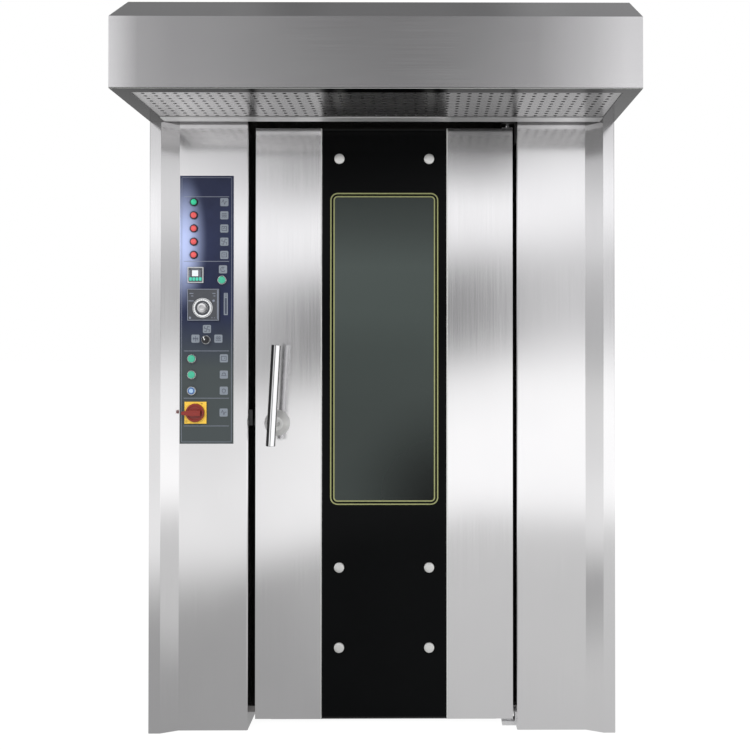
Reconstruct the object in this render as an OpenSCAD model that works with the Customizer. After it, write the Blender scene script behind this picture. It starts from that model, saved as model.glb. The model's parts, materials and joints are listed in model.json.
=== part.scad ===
// Rotating rack oven: a cabinet with a canopy hood, a glazed door on the right-hand
// hinge, a rack carrier turned from the roof, and a heated plenum behind the chamber.
// The front faces -Y, +Z is up, and the origin is under the middle of the whole footprint.

/* [Cabinet] */
// Width of the cabinet and of the hood
body_w = 1400; // [1300:10:1600]
// Depth of the cabinet behind its front strips
body_d = 1800; // [1750:10:2200]
// Height of the roof
body_h = 2120; // [2080:10:2300]
// Thickness of the outer and folded sheets
sheet_t = 2; // [1.5:0.5:3]
// Thickness of the chamber's liner sheets
liner_t = 3; // [2:0.5:4]
// Thickness of the floor slab and of the base rails
floor_t = 20; // [18:1:30]
// Thickness of the rear service cover
cover_t = 3; // [2:0.5:5]

/* [Front columns] */
// Width of the outer front strip
strip_w = 35; // [20:1:60]
// Width of the sloping fold beside the strip
bevel_w = 50; // [30:1:80]
// Depth of that fold
bevel_d = 24; // [10:1:40]
// Width of the doorway between the columns
doorway_w = 814; // [760:2:860]
// Depth of the outer strip's return along the side
side_return = 40; // [20:5:80]

/* [Hood] */
// How far the hood reaches down from the roof
hood_drop = 285; // [240:5:320]
// How far the hood reaches in front of the strips
hood_reach = 400; // [300:10:600]
// Height of the hood's upright front
hood_face_h = 190; // [120:5:220]
// Depth of the hood's sloping top
hood_slope_d = 174; // [80:2:220]
// Width of the rims turned in under the hood
hood_rim_w = 45; // [20:1:80]
// Depth of the grease gutter at the back of the hood
gutter_d = 55; // [30:1:80]
// Diameter of the filter's holes
filter_hole_d = 11; // [5:0.5:14]
// Pitch of the filter's holes
filter_pitch = 29.2; // [22:0.1:45]

/* [Door] */
// Thickness of the door
door_t = 95; // [80:1:120]
// How far the door lies behind the columns
door_recess = 46; // [30:1:60]
// Gap beside the door on the latch side
latch_gap = 15; // [12:0.5:20]
// Gap beside the door on the hinge side
hinge_gap = 8.5; // [7:0.5:12]
// Gap under the door
door_foot_gap = 17; // [17:1:30]
// Gap between the door and the hood's underside
door_head_gap = 6; // [4:1:12]
// Thickness of the door pan's sheet
pan_t = 2.5; // [2:0.5:4]
// Depth of the two steel cladding trays
cladding_d = 7.5; // [7:0.5:10]
// Thickness of the cladding trays' sheet
cladding_t = 1.5; // [1:0.5:2]
// Thickness of the inner door panel
inner_panel_t = 2; // [1.5:0.5:4]
// Width of the full-height glass
glass_w = 383; // [360:1:420]
// Thickness of the full-height glass
glass_t = 6; // [4:0.5:6]
// Gap between the glass and the cladding beside it
glass_gap = 1; // [0.5:0.5:3]
// How much shorter the glass is than the door at each end
glass_inset = 6; // [2:1:20]
// Width of the clear window
window_w = 309; // [240:1:330]
// Distance of the window's upper edge from the door's top
window_head = 210; // [120:2:320]
// Height of the window's lower edge
window_z = 683; // [600:1:800]
// Width of the lip that holds the inner pane
pane_lip = 10; // [6:1:20]
// Thickness of the inner pane
pane_t = 5; // [4:1:8]
// Depth of the gasket with the door shut
gasket_d = 10; // [8:1:16]
// Width of the gasket
gasket_w = 14; // [10:1:20]

/* [Stand-off caps] */
// Diameter of a cap
cap_d = 31; // [20:1:40]
// Height of a cap
cap_h = 9; // [5:1:15]
// Distance between the two columns of caps
cap_span = 276; // [240:2:300]
// Height of the lowest caps
cap_low_z = 235; // [150:5:300]
// Height of the middle caps
cap_mid_z = 480; // [400:5:560]
// Distance of the top caps from the door's top
cap_head = 94; // [60:2:130]

/* [Handle] */
// Diameter of the bar
bar_d = 28; // [20:1:36]
// Length of the bar
bar_len = 300; // [240:5:360]
// How far the bar's middle lies above the spindle
bar_rise = 90; // [60:5:110]
// Distance of the bar's axis in front of the door
bar_standoff = 115; // [90:1:140]
// Lean of the bar when shut, in degrees
bar_lean = 3.15; // [0:0.05:6]
// Diameter of the neck behind the bar
neck_d = 24; // [18:1:30]
// Diameter of the rosette at the door
rosette_d = 79; // [60:1:90]
// Diameter of the rosette at its nose
rosette_nose_d = 44; // [36:1:56]
// Height of the rosette
rosette_h = 34; // [15:1:50]
// Distance of the spindle from the door's edge
spindle_in = 67; // [55:1:90]
// Height of the spindle
spindle_z = 923; // [880:1:1000]
// Diameter of the spindle
spindle_d = 16; // [12:1:20]
// Width of the latch tongue
tongue_w = 18; // [12:1:26]
// Thickness of the latch tongue
tongue_t = 8; // [5:1:10]

/* [Hinges] */
// Distance of the hinge axis from the door's edge
hinge_in = 13.5; // [12:0.5:15]
// Distance of the hinge axis behind the door's face
hinge_back = 12; // [11:0.5:13]
// Diameter of the hinge pins
hinge_pin_d = 16; // [12:1:18]
// Thickness of the hinge plates
hinge_plate_t = 12; // [10:1:14]
// Half the depth of the hinge plates
hinge_plate_half = 22; // [18:1:26]
// Thickness of the door's two hinge leaves
hinge_leaf_t = 4; // [3:0.5:5]
// Free space between the hinge leaves and the parts beside them
hinge_play = 2; // [1.5:0.5:3]
// How far the hinge plates reach past the pins
hinge_plate_in = 20; // [16:1:24]
// Height of the hinge plates' legs on the jamb
hinge_leg_h = 60; // [45:5:80]

/* [Chamber] */
// Thickness of the mineral wool beside the chamber
side_wool = 115; // [90:5:140]
// Thickness of the mineral wool over the chamber
roof_wool = 185; // [160:5:210]
// Thickness of the mineral wool behind the plenum
rear_wool = 82; // [60:1:110]
// Thickness of the insulated front wall
front_wall = 70; // [50:5:80]
// Depth of the plenum behind the air outlet wall
plenum_d = 345; // [330:5:360]
// Width of the clear passage into the chamber
passage_w = 700; // [640:2:720]
// Distance of that passage's top from the hood's underside
passage_head = 45; // [35:5:110]

/* [Air outlet wall] */
// Number of louvres in each column
louvre_count = 16; // [8:1:20]
// Length of a louvre
louvre_w = 220; // [150:5:260]
// Height of a louvre's slot
louvre_h = 24; // [12:1:34]
// How far a louvre's hood stands into the plenum
louvre_d = 22; // [10:1:30]
// Distance of the louvres from the chamber's sides
louvre_side = 60; // [40:5:90]
// Distance of the louvres from the floor and from the ceiling
louvre_end = 140; // [100:5:200]
// Angle of a louvre's hood, in degrees
louvre_angle = 35; // [20:1:45]

/* [Heater] */
// Number of hairpin elements
heater_count = 14; // [6:1:18]
// Diameter of an element
heater_rod_d = 12; // [8:1:16]
// Distance between an element's two legs
heater_span = 110; // [80:2:130]
// Length of an element along the plenum
heater_len = 760; // [500:10:820]
// Pitch between elements
heater_pitch = 80; // [60:1:90]

/* [Circulation fan] */
// Diameter of the fan wheel
fan_d = 290; // [240:2:300]
// Height of the fan wheel
fan_h = 90; // [60:2:120]
// Number of blades
fan_blades = 12; // [6:1:16]
// Diameter of the wheel's inlet
fan_inlet_d = 180; // [140:2:200]
// Diameter of the fan's shaft
fan_shaft_d = 24; // [18:1:30]
// Diameter of the fan motor over its fins
fan_motor_d = 176; // [140:2:200]
// Height of the fan motor's finned part
fan_motor_h = 130; // [100:5:160]
// Side of the fan motor's mounting plate
fan_flange = 210; // [190:2:240]

/* [Rack drive] */
// Diameter of the carrier shaft
shaft_d = 36; // [28:1:45]
// Length of the carrier's crossbar
crossbar_len = 640; // [500:10:760]
// Width of the crossbar
crossbar_w = 70; // [50:2:90]
// Depth of the hooks under the crossbar
hook_drop = 62; // [40:1:80]
// Width and depth of the gear case
gear_case_w = 150; // [130:2:180]
// Height of the gear case
gear_case_h = 110; // [100:2:140]
// Diameter of the gear motor over its fins
gear_motor_d = 108; // [90:2:130]
// Length of the gear motor's finned part
gear_motor_len = 150; // [120:5:180]

/* [Air and steam ducts] */
// Diameter of the steam duct
steam_d = 124; // [100:2:160]
// Diameter of the hood's exhaust collar
exhaust_d = 150; // [120:2:180]
// Wall of the ducts
duct_t = 2; // [1.5:0.5:3]
// How far the steam duct stands above the roof
duct_rise = 95; // [80:5:110]
// How far the hood's exhaust collar stands above the roof
exhaust_rise = 78; // [60:2:90]
// Length of the collar round the steam duct's upper end
steam_collar_h = 50; // [40:2:55]
// Diameter of the water pipe
pipe_d = 21; // [15:0.5:27]
// Length of the water inlet stub
stub_len = 30; // [25:1:45]

/* [Controls] */
// Width of the control plate
plate_w = 162; // [156:1:180]
// Height of the control plate
plate_h = 811; // [800:1:840]
// Height of the plate's lower edge
plate_z = 864; // [840:1:900]
// Thickness of the control plate
plate_t = 3; // [2:0.5:4]
// Diameter of the push-button heads
button_d = 22; // [20:1:24]
// Travel of the push-buttons
button_travel = 3; // [2:0.5:4]
// Diameter of the button collars
collar_d = 30; // [28:1:32]
// Width of the contact blocks
contact_w = 30; // [26:1:34]
// Height of the contact blocks
contact_h = 40; // [34:1:44]
// Diameter of the button stems
stem_d = 12; // [8:1:14]
// Length of the button stems behind the plate
stem_len = 20; // [16:1:26]
// Depth of the contact blocks
contact_d = 46; // [40:1:50]
// Diameter of a pilot lamp's lens
lamp_d = 17; // [12:1:20]
// Diameter of the selector knob
selector_d = 24; // [20:1:26]
// Side of the temperature controller
thermostat_size = 96; // [90:1:100]
// Side of the timer
timer_size = 48; // [44:1:52]
// Diameter of the temperature controller's dial
dial_d = 60; // [50:1:64]
// Side of the main switch's plate
switch_size = 66; // [60:1:68]
// Diameter of the main switch's knob
switch_knob_d = 56; // [48:1:58]

/* [Hidden] */
$fn = 48;

// Running clearance of a shaft in its bore, and the usual gap beside moving pieces
running = 0.05;
clear = 0.3;

// Levels of the hood and of the door
hood_z = body_h - hood_drop;
door_z0 = door_foot_gap;
door_z1 = hood_z - door_head_gap;

// Planes from front to back
hw = body_w / 2;
y_hood = -(hood_reach + body_d) / 2;
y_strip = y_hood + hood_reach;
y_main = y_strip + bevel_d;
y_door = y_main + door_recess;
y_pan = y_door + cladding_d;
y_pan_back = y_door + door_t - inner_panel_t;
y_back = y_door + door_t;
y_frame = y_back + gasket_d;
y_chamber = y_frame + front_wall;
y_end = y_strip + body_d;
y_cover = y_end - cover_t;
y_liner = y_cover - sheet_t - rear_wool - liner_t;
y_outlet = y_liner - plenum_d;
y_mid = (y_chamber + y_outlet) / 2;
y_fan = (y_outlet + y_liner) / 2;

// Levels
z_roof = body_h - sheet_t;
z_head = hood_z + 20;
z_insulation = z_roof - roof_wool;
z_ceiling = z_insulation - liner_t;
passage_z = hood_z - passage_head;

// Half widths and the door's sides
jamb_x = doorway_w / 2;
liner_x = hw - sheet_t - side_wool;
chamber_x = liner_x - liner_t;
door_x0 = -jamb_x + latch_gap;
door_x1 = jamb_x - hinge_gap;
door_cx = (door_x0 + door_x1) / 2;
glass_x0 = door_cx - glass_w / 2;
glass_x1 = door_cx + glass_w / 2;
hinge_x = door_x1 - hinge_in;
hinge_y = y_door + hinge_back;
spindle_x = door_x0 + spindle_in;
y_tongue = y_pan + 12;

// Openings for the window, one inside the other
window_x0 = door_cx - window_w / 2;
window_x1 = door_cx + window_w / 2;
window_z1 = door_z1 - window_head;
collar_gap = 6;

// Shafts and ducts that pass the roof
fan_top = z_ceiling - 40;
fan_bottom = fan_top - fan_h;
plate_level = fan_bottom - 14;
steam_x = chamber_x * 0.6;
exhaust_in = 100;
exhaust_y = y_strip + exhaust_in;
cable_in = 120;
cable_d = 26;
crossbar_t = 12;
hook_t = 10;
duct_top = body_h + duct_rise;
damper_z = body_h + 30;
damper_rod_d = 8;
bearing_h = 44;
bearing_flange_t = 12;
heater_x1 = chamber_x - 40;
heater_x0 = heater_x1 - heater_len;
heater_z0 = 160;
cascade_w = 120;
cascade_x0 = -chamber_x + 30;
cascade_z0 = 300;
cascade_steps = 9;
cascade_pitch = 110;
lamp_w = 90;
lamp_h = 420;
lamp_z0 = 900;

// Places on the control plate, as shares of its width and height
plate_x0 = -hw + strip_w + bevel_w + 2;
function on_plate(u, v) = [plate_x0 + u * plate_w, plate_z + v * plate_h];
lamps_at = [for (i = [0:4]) on_plate(0.26, 0.704 + i * 0.0493)];
timer_at = on_plate(0.296, 0.629);
start_at = on_plate(0.79, 0.61);
thermostat_at = on_plate(0.444, 0.518);
dial_at = thermostat_at - [0.02, 0.104] * thermostat_size;
selector_at = on_plate(0.494, 0.387);
push_at = [for (i = [0:2]) on_plate(0.228, 0.317 - i * 0.0598)];
switch_at = on_plate(0.302, 0.116);
y_plate = y_main - plate_t;
collar_floor = 1;
y_inside = y_main + sheet_t;

function unit(v) = v / norm(v);
function left_of(v) = [-v.y, v.x];

// The point beside corner i of a fold line, one sheet thickness to its left
function beside(p, i, t) =
    let (
        before = i == 0 ? left_of(unit(p[1] - p[0])) : left_of(unit(p[i] - p[i - 1])),
        after = i == len(p) - 1 ? before : left_of(unit(p[i + 1] - p[i]))
    )
    p[i] + (before + after) * t / (1 + before * after);

// The cross-section of a sheet folded along a line of points
module folded(p, t) {
    polygon(concat(p, [for (i = [len(p) - 1:-1:0]) beside(p, i, t)]));
}

// A box between two opposite corners
module slab(a, b) {
    translate(a)
        cube(b - a);
}

// A round bar or drill along Y, from y0 to y1
module along_y(x, y0, y1, z, d) {
    translate([x, y0, z])
        rotate([-90, 0, 0])
            cylinder(h = y1 - y0, d = d);
}

// A round bar or drill along X, from x0 to x1
module along_x(x0, x1, y, z, d) {
    translate([x0, y, z])
        rotate([0, 90, 0])
            cylinder(h = x1 - x0, d = d);
}

// A round bar or drill upwards, from z0 to z1
module upright(x, y, z0, z1, d) {
    translate([x, y, z0])
        cylinder(h = z1 - z0, d = d);
}

// A side profile in the YZ plane, swept across from x0 to x1
module across(x0, x1) {
    translate([x0, 0, 0])
        rotate([90, 0, 90])
            linear_extrude(x1 - x0)
                children();
}

// ---------------------------------------------------------------- cabinet

module base_rails() {
    color("dimgray") {
        for (side = [-1, 1])
            slab([min(side * liner_x, side * (hw - sheet_t)), y_frame + sheet_t, 0],
                [max(side * liner_x, side * (hw - sheet_t)), y_cover - sheet_t, floor_t]);
        slab([-liner_x, y_liner + liner_t, 0], [liner_x, y_cover - sheet_t, floor_t]);
    }
}

module chamber_floor() {
    color("silver")
        slab([-liner_x, y_frame + sheet_t, 0], [liner_x, y_liner + liner_t, floor_t]);
}

module threshold() {
    nose = hinge_y + 1.5 * hinge_plate_half;
    color("gray")
        across(-passage_w / 2, passage_w / 2)
            polygon([
                [nose, 0], [nose, 2], [y_back, door_foot_gap - 6],
                [y_frame + sheet_t, floor_t], [y_frame + sheet_t, 0]
            ]);
}

// One front column: side return, strip, fold, flat face and jamb return
module column_profile() {
    folded([
        [-hw, y_strip + side_return],
        [-hw, y_strip],
        [-hw + strip_w, y_strip],
        [-hw + strip_w + bevel_w, y_main],
        [-jamb_x, y_main],
        [-jamb_x, y_frame]
    ], sheet_t);
}

module left_column() {
    color("gainsboro")
        difference() {
            linear_extrude(z_roof)
                column_profile();
            panel_drills(y_main - 1, y_inside + 1);
        }
}

module right_column() {
    color("gainsboro")
        mirror([1, 0, 0])
            linear_extrude(z_roof)
                column_profile();
}

module side_panels() {
    color("gainsboro")
        for (side = [0, 1])
            mirror([side, 0, 0])
                slab([hw - sheet_t, y_strip + side_return, 0], [hw, y_cover, z_roof]);
}

module rear_panel() {
    color("silver")
        slab([-hw + sheet_t, y_cover - sheet_t, 0], [hw - sheet_t, y_cover, z_roof]);
}

// The rear cover over the plenum, with a row of vent slots near each end and its screw holes
module service_cover() {
    half = chamber_x * 0.7;
    z0 = z_ceiling * 0.15;
    z1 = z_ceiling * 0.9;
    slot_w = half / 7;
    color("lightgray")
        difference() {
            slab([-half, y_cover, z0], [half, y_end, z1]);
            for (z = [0.05, 0.94])
                for (i = [-3:3])
                    slab([i * 1.6 * slot_w - slot_w / 2, y_cover - 1, z0 + z * (z1 - z0)],
                        [i * 1.6 * slot_w + slot_w / 2, y_end + 1, z0 + z * (z1 - z0) + slot_w / 7]);
            for (x = [-half + slot_w / 3, half - slot_w / 3])
                for (z = [0.02, 0.35, 0.65, 0.98])
                    along_y(x, y_cover - 1, y_end + 1, z0 + z * (z1 - z0), 2 * cover_t);
        }
}

module roof_panel() {
    color("silver")
        difference() {
            slab([-hw, y_strip, z_roof], [hw, y_cover, body_h]);
            upright(0, y_mid, z_roof - 1, body_h + 1, shaft_d + 20);
            upright(0, y_fan, z_roof - 1, body_h + 1, fan_shaft_d + 20);
            upright(steam_x, y_mid, z_roof - 1, body_h + 1, steam_d);
            upright(0, exhaust_y, z_roof - 1, body_h + 1, exhaust_d);
            upright(cascade_x0 + cascade_w / 2, y_fan, z_roof - 1, body_h + 1, pipe_d);
            upright(-hw + cable_in, exhaust_y, z_roof - 1, body_h + 1, cable_d);
        }
}

// The folded sheet over the doorway, open at the top towards the hood's exhaust
module header_panel() {
    fold = 60;
    vent_half = exhaust_d;
    color("gainsboro")
        difference() {
            across(-jamb_x, jamb_x)
                folded([
                    [y_frame, z_head + fold],
                    [y_frame, z_head],
                    [y_main, z_head],
                    [y_main, z_roof]
                ], -sheet_t);
            slab([-vent_half, y_main - 1, z_head + fold], [vent_half, y_main + sheet_t + 1, z_roof - fold]);
        }
}

module hinge_bore(z0, z1, extra) {
    upright(hinge_x, hinge_y, z0, z1, hinge_pin_d + 2 * extra);
}

// ---------------------------------------------------------------- hood

// The hood's side outline, drawn in by t on every side
module hood_outline(t) {
    top = body_h - t;
    corner = hood_z + hood_face_h;
    slope = unit([hood_slope_d, body_h - corner]);
    inner_corner = corner - t * (1 - slope.x) / slope.y;
    inner_run = (top - inner_corner) * slope.x / slope.y;
    polygon([
        [y_hood + t, hood_z - (t > 0 ? 1 : 0)],
        [y_hood + t, inner_corner],
        [y_hood + t + inner_run, top],
        [y_strip + (t > 0 ? 1 : 0), top],
        [y_strip + (t > 0 ? 1 : 0), hood_z - (t > 0 ? 1 : 0)]
    ]);
}

module hood_shell() {
    rim_x = hw - hood_rim_w;
    color("silver") {
        difference() {
            across(-hw, hw)
                hood_outline(0);
            across(-hw + sheet_t, hw - sheet_t)
                hood_outline(sheet_t);
        }
        slab([-hw + sheet_t, y_hood + sheet_t, hood_z],
            [hw - sheet_t, y_hood + hood_rim_w, hood_z + sheet_t]);
        for (side = [-1, 1])
            slab([side < 0 ? -hw + sheet_t : rim_x, y_hood + hood_rim_w, hood_z],
                [side < 0 ? -rim_x : hw - sheet_t, y_strip, hood_z + sheet_t]);
    }
}

module hood_filter() {
    half = hw - hood_rim_w;
    margin = 24;
    y0 = y_hood + hood_rim_w;
    y1 = y_strip - gutter_d;
    columns = floor((2 * half - 2 * margin) / filter_pitch);
    rows = floor((y1 - y0 - filter_hole_d) / filter_pitch);
    color("lightgray")
        translate([0, 0, hood_z + sheet_t])
            linear_extrude(1.5)
                difference() {
                    translate([-hw + sheet_t, y_hood + sheet_t])
                        square([2 * (hw - sheet_t), y1 - y_hood - sheet_t]);
                    for (i = [0:columns])
                        for (j = [0:rows])
                            translate([(i - columns / 2) * filter_pitch,
                                (y0 + y1) / 2 + (j - rows / 2) * filter_pitch])
                                circle(d = filter_hole_d);
                }
}

module hood_gutter() {
    half = hw - hood_rim_w;
    color("whitesmoke")
        across(-half, half)
            folded([
                [y_strip, hood_z + 30],
                [y_strip, hood_z],
                [y_strip - gutter_d, hood_z],
                [y_strip - gutter_d, hood_z + sheet_t]
            ], -sheet_t);
}

// ---------------------------------------------------------------- chamber

// The sealing frame round the passage, with the passage's own lining behind it
module door_frame() {
    px = passage_w / 2;
    color("gray") {
        difference() {
            slab([-jamb_x, y_frame, floor_t], [jamb_x, y_frame + sheet_t, z_head + 60]);
            slab([-px, y_frame - 1, floor_t - 1], [px, y_frame + sheet_t + 1, passage_z]);
        }
        difference() {
            slab([-px - liner_t, y_frame + sheet_t, floor_t], [px + liner_t, y_chamber, passage_z + liner_t]);
            slab([-px, y_frame, floor_t - 1], [px, y_chamber + 1, passage_z]);
        }
    }
}

module front_liner() {
    px = passage_w / 2 + liner_t;
    color("silver")
        difference() {
            slab([-chamber_x, y_chamber - liner_t, floor_t], [chamber_x, y_chamber, z_ceiling]);
            slab([-px, y_chamber - liner_t - 1, floor_t - 1], [px, y_chamber + 1, passage_z + liner_t]);
            for (side = [-1, 1])
                lamp_pocket(side, y_chamber - liner_t - 1, y_chamber + 1, 0);
        }
}

module lamp_pocket(side, y0, y1, grow) {
    x = side * (passage_w / 2 + chamber_x) / 2;
    slab([x - lamp_w / 2 - grow, y0, lamp_z0 - grow], [x + lamp_w / 2 + grow, y1, lamp_z0 + lamp_h + grow]);
}

// The side walls and the back of the chamber, as three sheets
module liner_walls() {
    color("silver") {
        for (side = [0, 1])
            mirror([side, 0, 0])
                slab([chamber_x, y_chamber - liner_t, floor_t], [liner_x, y_liner, z_ceiling]);
        slab([-liner_x, y_liner, floor_t], [liner_x, y_liner + liner_t, z_ceiling]);
    }
}

module ceiling() {
    color("silver")
        difference() {
            slab([-liner_x, y_chamber - liner_t, z_ceiling], [liner_x, y_liner + liner_t, z_insulation]);
            upright(0, y_mid, z_ceiling - 1, z_insulation + 1, shaft_d + 4);
            upright(0, y_fan, z_ceiling - 1, z_insulation + 1, fan_shaft_d + 4);
            upright(steam_x, y_mid, z_ceiling - 1, z_insulation + 1, steam_d);
            upright(cascade_x0 + cascade_w / 2, y_fan, z_ceiling - 1, z_insulation + 1, pipe_d);
        }
}

// Slabs beside the chamber, behind it and in its front wall
module wall_insulation() {
    gap_y = y_frame + sheet_t;
    px = passage_w / 2 + liner_t;
    color("khaki") {
        for (side = [-1, 1])
            slab([side < 0 ? -hw + sheet_t : liner_x, gap_y, floor_t],
                [side < 0 ? -liner_x : hw - sheet_t, y_cover - sheet_t, z_insulation]);
        slab([-liner_x, y_liner + liner_t, floor_t], [liner_x, y_cover - sheet_t, z_insulation]);
        for (side = [-1, 1])
            difference() {
                slab([side < 0 ? -liner_x : px, gap_y, floor_t],
                    [side < 0 ? -px : liner_x, y_chamber - liner_t, z_insulation]);
                lamp_pocket(side, gap_y - 1, y_chamber, 0);
            }
        slab([-px, gap_y, passage_z + liner_t], [px, y_chamber - liner_t, z_insulation]);
    }
}

module roof_insulation() {
    color("khaki")
        difference() {
            slab([-hw + sheet_t, y_frame + sheet_t, z_insulation], [hw - sheet_t, y_cover - sheet_t, z_roof]);
            upright(0, y_mid, z_insulation - 1, z_roof + 1, shaft_d + 20);
            upright(0, y_fan, z_insulation - 1, z_roof + 1, fan_shaft_d + 20);
            upright(steam_x, y_mid, z_insulation - 1, z_roof + 1, steam_d);
            upright(cascade_x0 + cascade_w / 2, y_fan, z_insulation - 1, z_roof + 1, pipe_d);
        }
}

module chamber_lamps() {
    color("lightyellow")
        for (side = [-1, 1])
            difference() {
                lamp_pocket(side, y_frame + sheet_t, y_chamber, 0);
                lamp_pocket(side, y_chamber - 6, y_chamber + 1, -10);
            }
}

// The wall that blows air into the chamber, with a hooded slot for each louvre
module air_outlet_wall() {
    x0 = chamber_x - louvre_side - louvre_w;
    pitch = (z_ceiling - 2 * louvre_end) / louvre_count;
    lip = louvre_h / 2;
    color("silver") {
        difference() {
            slab([-chamber_x, y_outlet, floor_t], [chamber_x, y_outlet + liner_t, z_ceiling]);
            for (side = [0, 1])
                mirror([side, 0, 0])
                    for (i = [0:louvre_count - 1])
                        translate([x0, y_outlet - 1, louvre_end + i * pitch])
                            cube([louvre_w, liner_t + 2, louvre_h]);
        }
        for (side = [0, 1])
            mirror([side, 0, 0])
                for (i = [0:louvre_count - 1])
                    translate([0, y_outlet + liner_t, louvre_end + i * pitch + louvre_h])
                        across(x0, x0 + louvre_w)
                            folded([[0, lip], [0, 0], [louvre_d, -louvre_d * tan(louvre_angle)]], 2);
    }
}

// ---------------------------------------------------------------- plenum

// One hairpin: two legs joined by a half turn, bent back through the rear liner
module hairpin() {
    r = heater_span / 2;
    bend = 30;
    y_near = y_fan - r;
    y_far = y_fan + r;
    along_x(heater_x0 + r, heater_x1 - bend, y_near, 0, heater_rod_d);
    along_x(heater_x0 + r, heater_x1 - 2 * bend - heater_rod_d, y_far, 0, heater_rod_d);
    translate([heater_x0 + r, y_fan, 0])
        rotate([0, 0, 90])
            rotate_extrude(angle = 180)
                translate([r, 0])
                    circle(d = heater_rod_d);
    for (leg = [[heater_x1 - bend, y_near], [heater_x1 - 2 * bend - heater_rod_d, y_far]]) {
        translate([leg.x, leg.y + bend, 0])
            rotate([0, 0, -90])
                rotate_extrude(angle = 90)
                    translate([bend, 0])
                        circle(d = heater_rod_d);
        along_y(leg.x + bend, leg.y + bend, y_liner, 0, heater_rod_d);
    }
}

module heater_elements() {
    color("dimgray")
        for (i = [0:heater_count - 1])
            translate([0, 0, heater_z0 + i * heater_pitch])
                hairpin();
}

// Two combs that carry the elements, standing on the chamber floor
module heater_racks() {
    top = heater_z0 + (heater_count - 1) * heater_pitch + 30;
    half = heater_span / 2 + 26;
    inset = 130;
    color("gray")
        for (x = [heater_x0 + inset, heater_x0 + heater_len * 0.7])
            difference() {
                slab([x, y_fan - half, floor_t], [x + liner_t, y_fan + half, top]);
                for (i = [0:heater_count - 1])
                    for (side = [-1, 1])
                        along_x(x - 1, x + liner_t + 1, y_fan + side * heater_span / 2,
                            heater_z0 + i * heater_pitch, heater_rod_d);
            }
}

// The plate under the fan, with its rolled inlet
module fan_plate() {
    color("gray")
        difference() {
            union() {
                slab([-chamber_x, y_outlet + liner_t, plate_level], [chamber_x, y_liner, plate_level + liner_t]);
                upright(0, y_fan, plate_level - 20, plate_level, fan_inlet_d + 2 * liner_t);
            }
            upright(0, y_fan, plate_level - 21, plate_level + liner_t + 1, fan_inlet_d);
            upright(cascade_x0 + cascade_w / 2, y_fan, plate_level - 1, plate_level + liner_t + 1, pipe_d);
        }
}

// A centrifugal wheel: back plate, shroud with inlet, curved blades and hub on its shaft
module fan_wheel() {
    blade_r = fan_d / 4;
    r0 = fan_inlet_d / 2 - 4;
    r1 = fan_d / 2 - 2;
    color("slategray")
        translate([0, y_fan, 0]) {
            translate([0, 0, fan_top - 3])
                cylinder(h = 3, d = fan_d);
            translate([0, 0, fan_bottom])
                difference() {
                    cylinder(h = 3, d = fan_d);
                    translate([0, 0, -1])
                        cylinder(h = 5, d = fan_inlet_d);
                }
            intersection() {
                for (i = [0:fan_blades - 1])
                    rotate([0, 0, i * 360 / fan_blades])
                        translate([(r0 + r1) / 2, -blade_r * 0.8, fan_bottom + 3])
                            difference() {
                                cylinder(h = fan_h - 6, r = blade_r);
                                translate([0, 0, -1])
                                    cylinder(h = fan_h, r = blade_r - 2.5);
                                translate([-2 * blade_r, -2 * blade_r, -1])
                                    cube([4 * blade_r, 2 * blade_r + blade_r * 0.45, fan_h]);
                            }
                difference() {
                    translate([0, 0, fan_bottom])
                        cylinder(h = fan_h, r = r1);
                    translate([0, 0, fan_bottom - 1])
                        cylinder(h = fan_h + 2, r = r0);
                }
            }
            translate([0, 0, fan_top - 45])
                cylinder(h = 42, d = fan_shaft_d + 26);
            translate([0, 0, fan_top])
                cylinder(h = body_h + 30 - fan_top, d = fan_shaft_d);
        }
}

// Cooling fins round a motor body, as one revolved outline
module finned_body(d, h, fins) {
    pitch = h / fins;
    cylinder(h = h, d = d - 16);
    for (i = [0:fins - 1])
        translate([0, 0, i * pitch])
            cylinder(h = pitch * 0.45, d = d);
}

module fan_motor() {
    plate_t = 10;
    neck_h = 30;
    cap_h = fan_motor_d / 5;
    top = plate_t + neck_h + fan_motor_h;
    color("steelblue")
        translate([0, y_fan, body_h])
            difference() {
                union() {
                    translate([-fan_flange / 2, -fan_flange / 2, 0])
                        cube([fan_flange, fan_flange, plate_t]);
                    translate([0, 0, plate_t])
                        cylinder(h = neck_h, d = 0.85 * fan_motor_d);
                    translate([0, 0, plate_t + neck_h])
                        finned_body(fan_motor_d, fan_motor_h, 9);
                    translate([0, 0, top])
                        cylinder(h = cap_h, d1 = fan_motor_d, d2 = 0.85 * fan_motor_d);
                    translate([fan_motor_d / 3, -fan_motor_d / 4, top - 0.8 * fan_motor_h])
                        cube([fan_motor_d / 3.5, fan_motor_d / 2, fan_motor_h / 2]);
                }
                translate([0, 0, -1])
                    cylinder(h = 31 + 2 + clear, d = fan_shaft_d + 2 * running);
                for (a = [45:90:315])
                    rotate([0, 0, a])
                        translate([0.62 * fan_flange, 0, -1])
                            cylinder(h = plate_t + 2, d = plate_t + 1);
            }
}

// Sloping troughs between two end plates, wetted from above
module steam_cascade() {
    depth = 160;
    y0 = y_fan - depth / 2;
    top = cascade_z0 + cascade_steps * cascade_pitch;
    color("dimgray") {
        for (x = [cascade_x0, cascade_x0 + cascade_w - liner_t])
            slab([x, y0, floor_t], [x + liner_t, y0 + depth, top]);
        for (i = [0:cascade_steps - 1]) {
            lean = i % 2 == 0 ? 1 : -1;
            z = cascade_z0 + i * cascade_pitch;
            across(cascade_x0 + liner_t, cascade_x0 + cascade_w - liner_t)
                folded([
                    [y_fan - lean * depth / 2, z + 50],
                    [y_fan - lean * depth / 2, z + 24],
                    [y_fan + lean * depth * 0.35, z],
                    [y_fan + lean * depth * 0.35, z + 16]
                ], lean * liner_t);
        }
    }
}

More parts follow.
